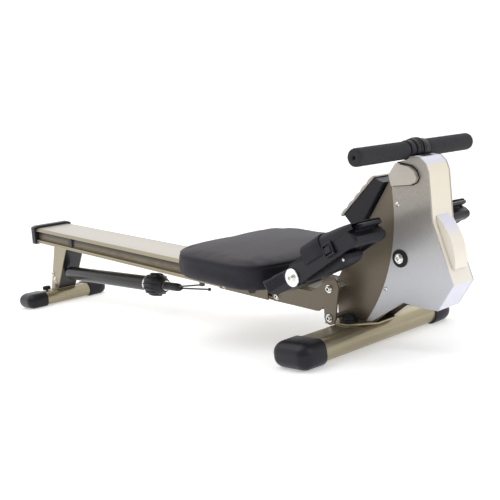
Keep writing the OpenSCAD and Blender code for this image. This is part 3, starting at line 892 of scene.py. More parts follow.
def rib_tree():
    """Rounded ribs laid side by side along a line of points."""
    g = Growth("ribs", Length=("Float", 0.04), Width=("Float", 0.0012), Height=("Float", 0.0008), Turn=("Vector", (0, 0, 0)),
               Material=("Material", None))
    bar = g.node("GeometryNodeMeshCylinder", {"fill_type": "NGON"}, {"Vertices": 8, "Radius": 1.0, "Depth": 1.0})
    size = g.node("ShaderNodeCombineXYZ", None, {0: g.given("Width"), 1: g.given("Height"), 2: g.given("Length")})
    bar = g.node("GeometryNodeTransform", None, {"Geometry": bar, "Scale": size})
    rotation = g.node("FunctionNodeEulerToRotation", None, {0: g.given("Turn")})
    laid = g.node("GeometryNodeInstanceOnPoints", None, {"Points": g.given("Geometry"), "Instance": bar, "Rotation": rotation})
    return g.finished(laid)


def flute_tree():
    """Ribs set round a knob's axis, which is the tree's own Z."""
    g = Growth("knob_ribs", Count=("Int", 14), Ring=("Float", 0.033), Rib=("Float", 0.0045), Length=("Float", 0.04),
               Material=("Material", None))
    ring = g.node("GeometryNodeMeshCircle", None, {"Vertices": g.given("Count"), "Radius": g.given("Ring")})
    rib = g.node("GeometryNodeMeshUVSphere", None, {"Segments": 12, "Rings": 10, "Radius": 1.0})
    half = g.node("ShaderNodeMath", {"operation": "MULTIPLY"}, {0: g.given("Length"), 1: 0.5})
    size = g.node("ShaderNodeCombineXYZ", None, {0: g.given("Rib"), 1: g.given("Rib"), 2: half})
    rib = g.node("GeometryNodeTransform", None, {"Geometry": rib, "Scale": size})
    laid = g.node("GeometryNodeInstanceOnPoints", None, {"Points": ring, "Instance": rib})
    return g.finished(laid)


TREES = {}


def tree(maker):
    if maker.__name__ not in TREES:
        TREES[maker.__name__] = maker()
    return TREES[maker.__name__]


# ---------------------------------------------------------------- operators


class ROWER_OT_stage(Operator):
    """Lay the floor, hang the lights and set the camera"""

    bl_idname = "rower.stage"
    bl_label = "Stage"

    def execute(self, context):
        stage = context.scene.rower_stage
        corners = [(x * FLOOR_HALF, y * FLOOR_HALF, 0) for x, y in ((-1, -1), (1, -1), (1, 1), (-1, 1))]
        floor = solid("floor", corners, [(0, 1, 2, 3)], scale=1.0)
        f = Finish("studio_floor")
        glow = {"emission_color": (1.0, 1.0, 1.0), "emission_strength": 0.38}
        shaded(floor, f.done(base_color=f.varied(tuple(stage.floor), 0.8, 0.008), roughness=0.85, **glow))
        world = bpy.data.worlds.new("studio")
        context.scene.world = world
        world.use_nodes = True
        nodes, links = world.node_tree.nodes, world.node_tree.links
        facing = nodes.new("ShaderNodeVectorMath")
        facing.operation = "DOT_PRODUCT"
        links.new(nodes.new("ShaderNodeTexCoord").outputs["Generated"], facing.inputs[0])
        facing.inputs[1].default_value = WORLD_SIDE
        glow = nodes.new("ShaderNodeMapRange")
        glow.interpolation_type = "SMOOTHSTEP"
        for socket, value in WORLD_RISE.items():
            glow.inputs[socket].default_value = value
        links.new(facing.outputs["Value"], glow.inputs["Value"])
        links.new(glow.outputs[0], nodes["Background"].inputs["Strength"])
        nodes["Background"].inputs["Color"].default_value = (1, 1, 1, 1)
        self.light("key", (-0.5, -1.2, 2.6), (0.0, 0.0, 0.2), 2.4, stage.key)
        self.light("front_side", (2.8, 0.9, 1.3), (0.7, 0.0, 0.25), 1.5, stage.side)
        self.light("behind", (0.2, 2.2, 1.8), (0.0, 0.0, 0.2), 2.0, 8)
        context.scene.view_settings.view_transform = "Standard"
        self.camera(context, stage)
        return {"FINISHED"}

    def light(self, name, at, towards, width, power):
        data = bpy.data.lights.new(name, "AREA")
        data.size = width
        data.energy = power
        lamp = bpy.data.objects.new(name, data)
        bpy.context.scene.collection.objects.link(lamp)
        lamp.location = at
        lamp.rotation_euler = (Vector(towards) - Vector(at)).to_track_quat("-Z", "Y").to_euler()

    def camera(self, context, stage):
        turn, rise, roll = (math.radians(angle) for angle in CAMERA_ANGLES)
        back = Vector((math.sin(turn) * math.cos(rise), -math.cos(turn) * math.cos(rise), math.sin(rise)))
        right = (-back).cross(Vector((0, 0, 1))).normalized()
        up = right.cross(-back)
        across = math.cos(roll) * right + math.sin(roll) * up
        upright = -math.sin(roll) * right + math.cos(roll) * up
        data = bpy.data.cameras.new("camera")
        data.lens = stage.lens
        data.sensor_width = 36
        data.clip_start = 0.05
        camera = bpy.data.objects.new("camera", data)
        context.scene.collection.objects.link(camera)
        spot = Vector(CAMERA_TARGET) + back * CAMERA_DISTANCE
        camera.matrix_world = Matrix.Translation(spot) @ Matrix((across, upright, back)).transposed().to_4x4()
        context.scene.camera = camera


class ROWER_OT_seat(Operator):
    """Fill the padded seat and press in its seam"""

    bl_idname = "rower.seat"
    bl_label = "Seat"

    def outline(self, inset, count=96):
        s = sizes()
        a, b = s.seat_half_length / MM - inset, s.seat_half_width / MM - inset
        for i in range(count):
            t = math.tau * i / count
            c, d = math.cos(t), math.sin(t)
            yield (
                a * math.copysign(abs(c) ** 0.44, c),
                b * math.copysign(abs(d) ** 0.44, d),
            )

    def execute(self, context):
        s = sizes()
        crown = s.seat_crown / MM
        place = on_rail(SEAT_X)
        heights = [(5.5, 6), (7, 3), (18, 1.5), (36, 0.5), (54, 0), (62, 1.2), (66.5, 4), (69.5, 9), (70.5, 14)]
        rings = [[(x, y, z) for x, y in self.outline(inset)] for z, inset in heights]
        for share in (0.75, 0.5, 0.25):
            rings.append([
                (x * share, y * share, 70.5 + crown * (1 - share**2)) for x, y in self.outline(14)
            ])
        pad = solid("seat_cushion", *ringed([[tuple(place @ Vector(p)) for p in ring] for ring in rings]))
        remesh = pad.modifiers.new("Even", "REMESH")
        remesh.mode = "VOXEL"
        remesh.voxel_size = 0.005
        applied(pad)
        self.fill(context, pad, place)
        smooth = pad.modifiers.new("Smooth", "SMOOTH")
        smooth.factor = 0.5
        smooth.iterations = 8
        finer = pad.modifiers.new("Finer", "SUBSURF")
        finer.levels = finer.render_levels = 1
        applied(pad)
        self.seam(pad, place)
        pad.data.polygons.foreach_set("use_smooth", [True] * len(pad.data.polygons))
        placed(pad, seat_vinyl(), "seat", ("seat_pad",))
        tray = solid("seat_tray", *ringed([
            [tuple(place @ Vector((x, y, z))) for x, y in self.outline(inset)] for z, inset in ((5, 12), (5.2, 9), (8, 8))
        ]))
        placed(tray, moulded_plastic(), "seat")
        return {"FINISHED"}

    def fill(self, context, pad, place):
        """Inflates the cover a little while its underside stays on the tray."""
        inverse = place.inverted()
        start = [v.co.copy() for v in pad.data.vertices]
        held = [i for i, p in enumerate(start) if (inverse @ (p / MM)).z < 9.5]
        pad.vertex_groups.new(name="held").add(held, 1.0, "REPLACE")
        cloth = pad.modifiers.new("Fill", "CLOTH")
        cover = cloth.settings
        cover.quality = 5
        cover.mass = 0.3
        cover.tension_stiffness = 15
        cover.compression_stiffness = 15
        cover.shear_stiffness = 5
        cover.bending_stiffness = 2
        cover.use_pressure = True
        cover.uniform_pressure_force = 4
        cover.vertex_group_mass = "held"
        cover.effector_weights.gravity = 0
        cloth.point_cache.frame_start = 1
        cloth.point_cache.frame_end = 20
        for step in range(1, 21):
            context.scene.frame_set(step)
        moved = pad.evaluated_get(context.evaluated_depsgraph_get()).to_mesh()
        most = sizes().seat_swell
        ends = [v.co.copy() for v in moved.vertices]
        pad.modifiers.remove(cloth)
        for v, begin, end in zip(pad.data.vertices, start, ends):
            way = end - begin
            v.co = begin + way * min(1.0, most / max(way.length, 1e-9))
        context.scene.frame_set(1)

    def seam(self, pad, place):
        """A sewn line round the pad, where its top panel meets its side."""
        inverse = place.inverted()
        s = sizes()
        for v in pad.data.vertices:
            p = inverse @ (v.co / MM)
            x, y = abs(p.x) * MM / (s.seat_half_length + 0.004), abs(p.y) * MM / (s.seat_half_width + 0.004)
            reach = (x ** 4.5 + y ** 4.5) ** (1 / 4.5)
            line = 61 - 2.5 * reach
            if reach > 0.9 and p.z > 30:
                depth = 1.9 * math.exp(-(((p.z - line) / 2.2) ** 2))
                lip = 0.8 * math.exp(-(((p.z - line - 4.5) / 2.6) ** 2))
                inward = Vector((-p.x * x**3, -p.y * y**3, 0)).normalized() * (depth - lip)
                v.co = (place @ (p + inward)) * MM


class ROWER_OT_handle(Operator):
    """Turn the foam grips and the rubber rings of the handle"""

    bl_idname = "rower.handle"
    bl_label = "Handle"

    def execute(self, context):
        r = sizes().grip_radius / MM
        for name, sign in (("right_grip", 1), ("left_grip", -1)):
            profile = [(172, 0), (172, 3.6), (181, 3.8), (182.6, 5), (183, 8), (183, r - 5.5), (182.2, r - 2.6),
                       (180.4, r - 0.9), (177, r)]
            profile += [(z, r + 0.12 * math.sin(z * 0.31)) for z in range(170, 34, -6)]
            profile += [(33, r), (31.5, r - 0.8), (30.4, r - 2), (30.2, 12.6), (30.2, 0)]
            place = along_y(HANDLE) if sign > 0 else along_y(HANDLE) @ Matrix.Rotation(math.pi, 4, "X")
            grip = solid(name, *turned(profile, place, 64))
            placed(keep_creases(grip, 50), foam_rubber(), "handle", ("handle_grips",) if sign > 0 else ())
        rings = [(30, 0), (30, 17.5), (29.4, 19.2), (28, 19.8), (17, 19.8), (16, 18.2), (14.6, 18.2), (13.8, 20.8),
                 (12.4, 21.8), (4, 22), (3.2, 22.8), (2.2, 23.4), (-0.2, 23.4), (-1.2, 22.8), (-1.8, 19), (-4.2, 19),
                 (-4.8, 22.8), (-5.8, 23.4), (-8.2, 23.4), (-9.2, 22.6), (-9.8, 19.6), (-12, 19.4), (-13, 20.8),
                 (-26, 20.2), (-28.6, 19.6), (-29.6, 18.6), (-30, 17.2), (-30, 0)]
        collars = solid("handle_rings", *turned(rings, along_y(HANDLE), 64))
        placed(keep_creases(collars, 30), rubber(), "handle", ("handle_collars",))
        refinish(zinc(), "handle_bar")
        rows = [(834.4 + 1.4 * t, 352 + 48 * t) for t in (0, 0.25, 0.5, 0.75, 1)]
        rows += [(835.8 - 2.0 * t / 32, 400 + 8.4 * t / 32) for t in range(1, 33)]
        shells = [[(x - 0.7, -10, z), (x + 0.7, -10, z), (x + 0.7, 10, z), (x - 0.7, 10, z)] for x, z in rows]
        strap = solid("pull_strap_band", *ringed(shells), smooth=False)
        shaded(strap, moulded_plastic("strap_nylon", 0.6))
        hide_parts("pull_strap")
        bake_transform(strap)
        return {"FINISHED"}


class ROWER_OT_feet(Operator):
    """Mould the end caps of both feet and finish their tubes"""

    bl_idname = "rower.feet"
    bl_label = "Feet"

    def section(self, width, height, radius, inset, count=10):
        w, h = width / 2 - inset, height / 2 - inset
        r = max(0.6, radius - inset)
        for k, (sx, sz) in enumerate(((1, 1), (-1, 1), (-1, -1), (1, -1))):
            for i in range(count + 1):
                a = math.radians(90 * k + 90 * i / count)
                yield sx * (w - r) + r * math.cos(a), sz * (h - r) + r * math.sin(a)

    def cap(self, name, x, width, height, end, length, sign):
        """A rounded box, open towards the middle of the machine."""
        round_off = 27
        rings = []
        for degrees in range(90, -1, -9):
            turn = math.radians(degrees)
            rings.append((end - round_off * (1 - math.sin(turn)), 0.84 * round_off * (1 - math.cos(turn)), 25))
        rings += [(end - length + 3, 0, 23), (end - length + 1, 0.5, 23), (end - length, 2.2, 22)]
        shells = [
            [(x + px, sign * y, height / 2 + pz) for px, pz in self.section(width, height, radius, inset)]
            for y, inset, radius in rings
        ]
        return solid(name, *ringed(shells))

    def execute(self, context):
        for node, x, width, height, end, length, body in (
            ("front_foot_caps", 635, 106, 58, 253, 69, "front_frame"),
            ("rear_foot_caps", -854, 102, 52, 157, 73, "rail"),
        ):
            for side, sign in (("right", -1), ("left", 1)):
                cap = self.cap(f"{node[:-1]}_{side}", x, width, height, end, length, sign)
                placed(keep_creases(cap, 50), moulded_plastic("foot_rubber", 0.34), body,
                       (node,) if sign < 0 else ())
        refinish(gold_paint(), "front_foot_tube", "rear_foot_tube")
        return {"FINISHED"}


class ROWER_OT_rail(Operator):
    """Finish the rail, its end caps, the hinge arms and the rear leg"""

    bl_idname = "rower.rail"
    bl_label = "Rail and leg"

    def execute(self, context):
        edge = sizes().edge
        for node, material, slot, width in (
            ("rail", rail_paint(), "gold", edge),
            ("rail_caps", moulded_plastic("end_cap_plastic", 0.34), "black_plastic", 0.003),
            ("hinge_arms", bronze_paint(), "bronze", edge),
            ("rear_leg", gold_paint(), "gold", edge),
            ("leg_panel", black_gloss(), "black_metal", edge),
        ):
            placed(rounded_copy(node, width, 3), material, "rail", (node,))
        refinish(brushed_plate(), "rail_top")
        refinish(moulded_plastic("stop_rubber", 0.5, 2.4), "rail_stops")
        refinish(zinc(), "rear_bolts")
        return {"FINISHED"}


class ROWER_OT_stay(Operator):
    """Turn the stay, its clamp knob and the small rear knob"""

    bl_idname = "rower.stay"
    bl_label = "Stay and knobs"

    def execute(self, context):
        end = STAY_LENGTH
        profile = [(-16, 0), (-16, 7), (1, 7), (1.5, 10), (4, 15), (9, 20), (16, 22.6), (24, 23), (end - 3, 23),
                   (end - 1, 22.4), (end, 21), (end, 0)]
        tube = solid("stay_tube_finished", *turned(profile, on_stay(), 64))
        placed(keep_creases(tube), black_gloss(), "rail", ("stay_tube",))
        ring = [(end, 0), (end, 25), (end + 1, 26), (end + 9, 26), (end + 10, 25), (end + 10, 8), (end + 60, 8),
                (end + 60, 0)]
        placed(keep_creases(solid("stay_collar", *turned(ring, on_stay(), 48))), zinc(), "rail")
        tail = [(end + 60, 0), (end + 60, 8), (end + 95.5, 8), (end + 96, 11.4), (end + 98, 12), (end + 152, 12),
                (end + 162, 11), (end + 170, 8), (end + 173.5, 5), (end + 173.5, 0)]
        tail_piece = keep_creases(solid("stay_tail", *turned(tail, on_stay(), 48)))
        placed(tail_piece, moulded_plastic(), "rail")
        body = [(11.2, 0), (11.2, 22), (12, 27), (15, 30.5), (22, 32), (54, 32), (66, 30), (76, 26), (84, 21),
                (90.5, 19), (90.5, 0)]
        knob = solid("stay_knob_body", *turned([(end + z, r) for z, r in body], on_stay(), 64))
        placed(keep_creases(knob), moulded_plastic(), "stay_knob", ("stay_knob",))
        self.ribs("stay_knob_ribs", on_stay(end + 40), 0.0318, 0.0045, 0.052, "stay_knob")
        place = Matrix.Translation((-859, -60, 49.3))
        small = [(0, 0), (0, 4), (3, 4), (3.4, 10), (5, 12), (13.5, 12.6), (16, 11), (17, 8), (17, 0)]
        rear = solid("rear_knob_body", *turned(small, place, 40))
        placed(keep_creases(rear), moulded_plastic(), "rear_knob", ("rear_knob",))
        self.ribs("rear_knob_ribs", place @ Matrix.Translation((0, 0, 9)), 0.0124, 0.0019, 0.013, "rear_knob", 12)
        refinish(black_gloss(), "stay_rods")
        return {"FINISHED"}

    def ribs(self, name, place, ring, rib, length, body, count=None):
        piece = grown(name, tree(flute_tree), [(0, 0, 0)], [(0, 0, 1)], [1.0], moulded_plastic(),
                      Count=count or sizes().knob_flutes, Ring=ring, Rib=rib, Length=length)
        shift = place.copy()
        shift.translation = place.translation * MM
        piece.data.transform(shift)
        piece.data.polygons.foreach_set("use_smooth", [True] * len(piece.data.polygons))
        placed(piece, moulded_plastic(), body)


class ROWER_OT_frame(Operator):
    """Finish the front frame: base, hinge ears, frame plates, spine and capped bolts"""

    bl_idname = "rower.frame"
    bl_label = "Front frame"

    def execute(self, context):
        edge = sizes().edge
        for node, material, slot in (
            ("base_plate", gold_paint(), "gold"),
            # The hinge ears carry the gold paint but take the darker bronze paint: painted shade on their side faces.
            ("hinge_ears", bronze_paint(), "gold"),
            ("frame_plates", bronze_paint(), "bronze"),
            ("rear_spine", bronze_paint(), "bronze"),
        ):
            placed(rounded_copy(node, edge, 3), material, "front_frame", (node,))
        caps = [
            turned([(59, 0), (59, 17), (60, 18), (64.5, 18), (65, 16.8), (66, 15.5), (72, 14.6), (75, 12.5), (76.6, 8),
                    (77, 0)], Matrix.Translation((634, y, 0)), 40)
            for y in (-54, 54)
        ]
        placed(keep_creases(solid("foot_bolt_caps", *together(*caps))), rubber("cap_rubber"), "front_frame",
               ("foot_bolts",))
        refinish(zinc(), "inner_pins", "wheel_bearings", "recoil_spring", "guide_roller", "brake_magnets")
        refinish(dark_metal(), "spring_drum", "flywheel", "drive_pulley", "brake_arm")
        refinish(bronze_paint(), "seat_carriage")
        refinish(rubber(), "drive_belt", "strap_spool", "tension_cable", "front_rollers", "rear_rollers")
        return {"FINISHED"}


class ROWER_OT_housing(Operator):
    """Finish the shells around the flywheel"""

    bl_idname = "rower.housing"
    bl_label = "Housing"

    def execute(self, context):
        edge = sizes().moulded_edge
        for node, material, slot, width in (
            ("right_cover", cover_paint(), "silver", edge * 0.7),
            ("left_cover", cover_paint(), "silver", edge * 0.7),
            ("front_panel", cream_plastic(), "cream", edge * 0.6),
            ("wheel_guard", cream_plastic(), "cream", edge),
            ("side_caps", cap_paint(), "silver", edge * 0.45),
        ):
            placed(rounded_copy(node, width, 3), material, "front_frame", (node,))
        rings = [
            turned([(COVER_FACE + 0.02, 0), (COVER_FACE + 0.02, 19), (38.2, 19), (39.2, 18), (39.5, 16.8), (39.5, 0)],
                   along_y(WHEEL) @ flip, 48)
            for flip in BOTH_WAYS
        ]
        # Painted shadow: thin black strips behind the side caps stand for the shadow gap along their edges.
        cap = [(779, 378.6), (782, 351.2), (833, 351.2), (844.6, 355.6), (850.8, 365.4), (846.6, 380.6),
               (834, 391.8), (800, 401)]
        inner, outer = COVER_FACE + 0.01, COVER_FACE + 1.2
        shadow_strips = [prism(cap, inner, outer), prism(cap, -outer, -inner)]
        placed(solid("cap_gaskets", *together(*shadow_strips), smooth=False), rubber(), "front_frame")
        # Painted shade: a black sheet where the strap's slot in the top plate shows only shade.
        slot_shade_sheet = prism([(834, 408.4), (849, 405.1), (849.4, 407.0), (834.4, 410.5)], -14, 14)
        placed(eased(solid("strap_mouth", *slot_shade_sheet), 0.0006), rubber(), "front_frame")
        placed(keep_creases(solid("axle_boss_rings", *together(*rings))), rubber(), "front_frame")
        return {"FINISHED"}


class ROWER_OT_console(Operator):
    """Mould the console and set in its display"""

    bl_idname = "rower.console"
    bl_label = "Console"

    def execute(self, context):
        placed(rounded_copy("console_shell", 0.003, 3), moulded_plastic("console_plastic", 0.36), "front_frame",
               ("console_shell",))
        place = Matrix.Translation((CONSOLE_FACE[0], 0, CONSOLE_FACE[1])) @ Matrix.Rotation(
            math.radians(-CONSOLE_TILT), 4, "Y")
        rails = []
        for y0, y1 in ((-44, -33), (33, 44)):
            top = [(x, 4.6 + 2.6 * abs(math.sin(math.pi * (x + 6) / 26.0))) for x in range(-6, 125, 2)]
            outline = [(-6, 0.2)] + [(124, 0.2)] + list(reversed(top))
            points, faces = prism(outline, y0, y1)
            rails.append(([tuple(place @ Vector(p)) for p in points], faces))
        trim = solid("console_trim", *together(*rails), smooth=False)
        placed(eased(trim, 0.0008, 2), cap_paint(), "front_frame")
        placed(rounded_copy("console_bezel", 0.0008, 2), cap_paint(), "front_frame", ("console_bezel",))
        placed(rounded_copy("console_button", 0.001, 3), rubber(), "button", ("console_button",))
        placed(rounded_copy("tension_dial", 0.0015, 3), moulded_plastic(), "dial", ("tension_dial",))
        refinish(display(), "console_screen")
        return {"FINISHED"}


class ROWER_OT_foot_plates(Operator):
    """Mould the foot plates with their ribs, buckles and straps"""

    bl_idname = "rower.foot_plates"
    bl_label = "Foot plates"

    def execute(self, context):
        right = self.plate()
        left = mirrored(right, "left_foot_plate")
        placed(right, moulded_plastic("pedal_plastic", 0.38, 0.9), "right_pedal", ("right_pedal",))
        placed(left, moulded_plastic("pedal_plastic", 0.38, 0.9), "left_pedal", ("left_pedal",))
        for maker, material, slot, node in (
            (self.strap, webbing(), "webbing", "foot_strap"),
            (self.buckle, moulded_plastic("buckle_plastic", 0.3), "black_plastic", None),
            (self.hood, rubber("hood_rubber"), "rubber", None),
            (self.ladder, rubber("ladder_rubber"), "rubber", None),
            (self.heel_ribs, moulded_plastic("pedal_plastic", 0.38, 0.9), "black_plastic", None),
        ):
            piece = maker()
            other = mirrored(piece, piece.name.replace("right", "left"))
            placed(piece, material, "right_pedal", (f"right_{node}",) if node else ())
            placed(other, material, "left_pedal", (f"left_{node}",) if node else ())
        return {"FINISHED"}

    def plate(self):
        sole = [(560, 168), (640, 186), (700, 216), (760, 247), (797, 262), (803, 266), (796, 276), (776, 286),
                (690, 246), (640, 218), (587, 196)]
        heel = [(513, 172), (519, 160), (528, 147), (538, 143), (562, 146), (604, 160), (628, 180), (612, 205),
                (587, 196), (540, 180)]
        wall = [(560, 145), (640, 177), (700, 206), (760, 237), (792, 253), (802, 260), (803, 267), (792, 277),
                (776, 287), (690, 248), (640, 221), (587, 198), (545, 184)]
        lobe = [(612, 166), (660, 178), (735, 205), (753, 214), (763, 226), (760, 236), (742, 241), (640, 200)]
        prong = [(764, 274), (790, 281), (808, 289.5), (811, 293), (806, 296), (790, 294), (764, 285)]
        toe = [(770, 246), (792, 250), (803, 257), (806, 265), (802, 273), (770, 276)]
        parts = [
            prism(sole, -189, -97),
            prism(heel, -189, -97),
            prism(wall, -189, -182),
            prism(wall, -104, -97),
            prism(lobe, -170, -126),
            prism(prong, -170, -116),
            prism(toe, -186, -100),
            turned([(100, 0), (100, 12), (150, 12), (154, 22), (188, 22), (189.4, 20.5), (189.4, 0)],
                   along_y(PEDAL_AXLE), 48),
        ]
        piece = moulding("right_foot_plate", parts, 0.0016, 8)
        piece.data.polygons.foreach_set("use_smooth", [True] * len(piece.data.polygons))
        return piece

    def strap_place(self):
        return Matrix.Translation(STRAP_SPOT) @ Matrix.Rotation(math.radians(STRAP_TILT), 4, "Y")

    def arch(self, half, rise, radius, drop, steps=10):
        """Half-width, rise, corner radius and leg length of the strap's path across the foot."""
        path = [(-half, -drop), (-half, -drop / 2), (-half, 0)]
        for k, centre in enumerate((-1, 1)):
            for i in range(steps + 1):
                a = math.radians(180 - 90 * k - 90 * i / steps)
                path.append((centre * (half - radius) + radius * math.cos(a), rise - radius + radius * math.sin(a)))
            if k == 0:
                path += [(t * (half - radius), rise + 0.8 * (1 - t * t)) for t in (-0.6, -0.3, 0, 0.3, 0.6)]
        return path + [(half, 0), (half, -drop / 2), (half, -drop)]

    def strap(self):
        place = self.strap_place()
        path = self.arch(48.6, 22.4, 17, 18)
        width, thick = 62.0, 2.6
        rows, uvs, run = [], [], 0.0
        for i, (y, z) in enumerate(path):
            a, b = path[max(i - 1, 0)], path[min(i + 1, len(path) - 1)]
            way = Vector((b[0] - a[0], b[1] - a[1])).normalized()
            side = Vector((-way.y, way.x))
            if i:
                run += math.dist(path[i], path[i - 1]) * MM
            ring = []
            edge, shoulder = width / 2, width / 2 - 1.2
            for x, t in ((-edge, -0.28), (-edge, 0.28), (-shoulder, 0.5), (0, 0.5), (shoulder, 0.5),
                         (edge, 0.28), (edge, -0.28), (shoulder, -0.5), (0, -0.5), (-shoulder, -0.5)):
                ring.append(tuple(place @ Vector((x, y + side.x * t * thick, z + side.y * t * thick))))
            rows.append(ring)
            uvs.append(run)
        points, faces = ringed(rows)
        piece = solid("right_strap_band", points, faces)
        layer = piece.data.uv_layers.new(name="UVMap")
        inverse = place.inverted()
        reach = [Vector(p) * MM for p in points[:: len(rows[0])]]
        for loop in piece.data.loops:
            p = piece.data.vertices[loop.vertex_index].co
            near = min(range(len(reach)), key=lambda k: ((inverse @ (p / MM)).yz - (inverse @ (reach[k] / MM)).yz).length)
            layer.data[loop.index].uv = (uvs[near], (inverse @ (p / MM)).x * MM)
        return keep_creases(piece, 40)

    def hood(self):
        """The toe cup: an arch that runs from under the strap down to the toe."""
        place = self.strap_place()
        rings = []
        for k in range(13):
            share = k / 12
            x = 20 + 104 * share
            rise = 20.5 - 14.5 * share**1.6
            half = 47.6 - 3.0 * share**3
            radius = min(15.0, rise - 1.0)
            outer = self.arch(half, rise, radius, 6, 6)
            inner = self.arch(half - 2.6, rise - 2.4, max(radius - 2.4, 1.5), 6, 6)
            rings.append([tuple(place @ Vector((x, y, z))) for y, z in outer + inner[::-1]])
        return keep_creases(solid("right_toe_hood", *ringed(rings)), 40)

    def buckle(self):
        """A cam buckle on the outer side, where the strap is pulled tight."""
        turn = Matrix.Rotation(math.radians(84), 4, "X")
        place = self.strap_place() @ Matrix.Translation((48, -47.2, -15)) @ turn
        parts = [
            box(place, (-15, -15, -1), (-10.5, 13, 4.2)),
            box(place, (10.5, -15, -1), (15, 13, 4.2)),
            box(place, (-13, -15, -1), (13, -11, 3.4)),
            box(place, (-13, 9, -1), (13, 13, 3.4)),
            box(place, (-9, -8, 0.4), (9, 5, 4.8)),
        ]
        piece = solid("right_buckle", *together(*parts), smooth=False)
        return eased(piece, 0.0012, 3)

    def ladder(self):
        """The toothed tail of the strap along the plate's outer edge."""
        tilt = Matrix.Rotation(math.radians(-27), 4, "Y")
        place = Matrix.Translation((628, -185, 218.5)) @ tilt
        parts = [box(place, (-26, -3, -2.5), (30, 3, 0.6))]
        for i in range(11):
            x = -25 + i * 5.2
            points, faces = prism([(x, 0.4), (x + 3.0, 0.4), (x + 2.4, 4.4), (x + 1.2, 4.4)], -3, 3)
            parts.append(([tuple(place @ Vector(p)) for p in points], faces))
        return eased(solid("right_ladder", *together(*parts), smooth=False), 0.0003, 2)

    def heel_ribs(self):
        start, end = Vector((527, -189.3, 158)), Vector((584, -189.3, 182))
        count = 15
        points = [start.lerp(end, i / (count - 1)) for i in range(count)]
        way = end - start
        angle = math.atan2(way.z, way.x)
        return grown("right_heel_ribs", tree(rib_tree), points, [(0, -1, 0)] * count, [1.0] * count, moulded_plastic(),
                     Length=0.022, Width=0.0011, Height=0.0009, Turn=(0.0, -angle - math.radians(8), 0.0))


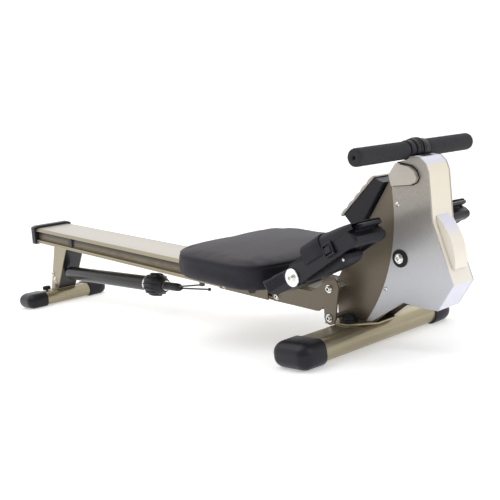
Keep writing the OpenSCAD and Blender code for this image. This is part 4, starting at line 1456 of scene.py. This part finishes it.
class ROWER_OT_bolts(Operator):
    """Drive in the socket bolts and screws"""

    bl_idname = "rower.bolts"
    bl_label = "Bolts and screws"

    def execute(self, context):
        rail = on_rail(SEAT_X)
        sides = (-1, 1)
        groups = {
            ("hinge_bolt_heads", "front_frame"): [
                ((p[0], s * 79, p[1]), (0, s, 0), 6.8) for p in (FOLD_PIVOT, LOCK_BOLT) for s in sides
            ],
            ("axle_bolt_heads", "front_frame"): [((WHEEL[0], s * 39.9, WHEEL[1]), (0, s, 0), 7.8) for s in sides],
            ("pedal_bolt_heads", "front_frame"): [
                ((PEDAL_AXLE[0], s * 193.4, PEDAL_AXLE[1]), (0, s, 0), 8.5) for s in sides
            ],
            ("leg_bolt_heads", "rail"): [
                ((x, s * 36.6, z), (0, s, 0), 6.6) for x, z in ((-838, 108), (-826, 87)) for s in sides
            ] + [((x, s * 72.4, z), (0, s, 0), 6.6) for x, z in ((422, 108),) for s in sides]
            + [((-852, 64, 49.5), (0, 0, 1), 6.0)],
            ("lobe_screw_right", "right_pedal"): [((748, -170.4, 223), (0, -1, 0), 2.4)],
            ("lobe_screw_left", "left_pedal"): [((748, 170.4, 223), (0, 1, 0), 2.4)],
            ("carriage_bolt_heads", "seat"): [
                (tuple(rail @ Vector((-90, s * 79.4, -38))), (0, s, 0), 5.4) for s in sides
            ],
        }
        for (name, body), bolts in groups.items():
            spots, facings, girths = zip(*bolts)
            piece = grown(name, tree(socket_bolt_tree), spots, facings, girths, bolt_zinc(),
                          Washer=1.35, Head_height=0.55, Socket=0.55)
            placed(keep_creases(piece), bolt_zinc(), body)
        buffers = [
            turned([(78.9, 0), (78.9, 10), (83, 10), (84.4, 8.6), (84.4, 0)], along_y(rail_point(18, -31)) @ flip, 32)
            for flip in BOTH_WAYS
        ]
        placed(keep_creases(solid("carriage_buffers", *together(*buffers))), rubber(), "seat")
        shaft = [(-193, 0), (-193, 18.8), (-192.2, 19.8), (-190.4, 20), (-190.4, 6), (190.4, 6), (190.4, 20),
                 (192.2, 19.8), (193, 18.8), (193, 0)]
        axle = solid("pedal_shaft", *turned(shaft, along_y(PEDAL_AXLE), 48))
        placed(keep_creases(axle), bolt_zinc(), "front_frame", ("pedal_axle",))
        pins = [turned(rod(-79, 79, 6), along_y(p), 32) for p in (FOLD_PIVOT, LOCK_BOLT)]
        placed(keep_creases(solid("hinge_pins", *together(*pins))), zinc(), "front_frame", ("hinge_bolts",))
        bar = [turned(rod(-AXLE_END, AXLE_END, 5), along_y(WHEEL), 32)]
        placed(keep_creases(solid("wheel_shaft", *together(*bar))), zinc(), "front_frame", ("main_axle",))
        # The spacers between the frame plates and the flywheel's bearings
        spacers = ((-28.4, -26.4), (13.4, 28.4))
        sleeves = [turned(rod(start, end, 7), along_y(WHEEL), 32) for start, end in spacers]
        sleeve_piece = keep_creases(solid("wheel_sleeves", *together(*sleeves)))
        placed(sleeve_piece, zinc(), "front_frame", ("axle_nuts",))
        screws = [((x, s * 36.2, z), (0, s, 0), 5.2) for x, z in ((787, 314), (732, 136)) for s in sides]
        spots, facings, girths = zip(*screws)
        piece = grown("cover_screw_heads", tree(cross_screw_tree), spots, facings, girths, bolt_zinc())
        placed(keep_creases(piece), bolt_zinc(), "front_frame", ("cover_screws",))
        return {"FINISHED"}


class ROWER_PT_panel(Panel):
    """Lists the pieces in the order in which they are made"""

    bl_label = "Rowing machine"
    bl_idname = "ROWER_PT_panel"
    bl_space_type = "VIEW_3D"
    bl_region_type = "UI"
    bl_category = "Rower"

    def draw(self, context):
        for step in STEPS:
            self.layout.operator(step.bl_idname)
        for group in (context.scene.rower_sizes, context.scene.rower_colours, context.scene.rower_stage):
            column = self.layout.column()
            for name in group.bl_rna.properties.keys():
                if name not in ("rna_type", "name"):
                    column.prop(group, name)


STEPS = (
    ROWER_OT_stage,
    ROWER_OT_frame,
    ROWER_OT_housing,
    ROWER_OT_console,
    ROWER_OT_handle,
    ROWER_OT_rail,
    ROWER_OT_stay,
    ROWER_OT_feet,
    ROWER_OT_foot_plates,
    ROWER_OT_seat,
    ROWER_OT_bolts,
)
GROUPS = (RowerColours, RowerSizes, RowerStage)


def register():
    for group in (*GROUPS, *STEPS, ROWER_PT_panel):
        bpy.utils.register_class(group)
    bpy.types.Scene.rower_colours = PointerProperty(type=RowerColours)
    bpy.types.Scene.rower_sizes = PointerProperty(type=RowerSizes)
    bpy.types.Scene.rower_stage = PointerProperty(type=RowerStage)


def unregister():
    del bpy.types.Scene.rower_stage
    del bpy.types.Scene.rower_sizes
    del bpy.types.Scene.rower_colours
    for group in reversed((*GROUPS, *STEPS, ROWER_PT_panel)):
        bpy.utils.unregister_class(group)


def main():
    register()
    for step in STEPS:
        family, name = step.bl_idname.split(".")
        getattr(getattr(bpy.ops, family), name)()


if __name__ == "__main__":
    main()
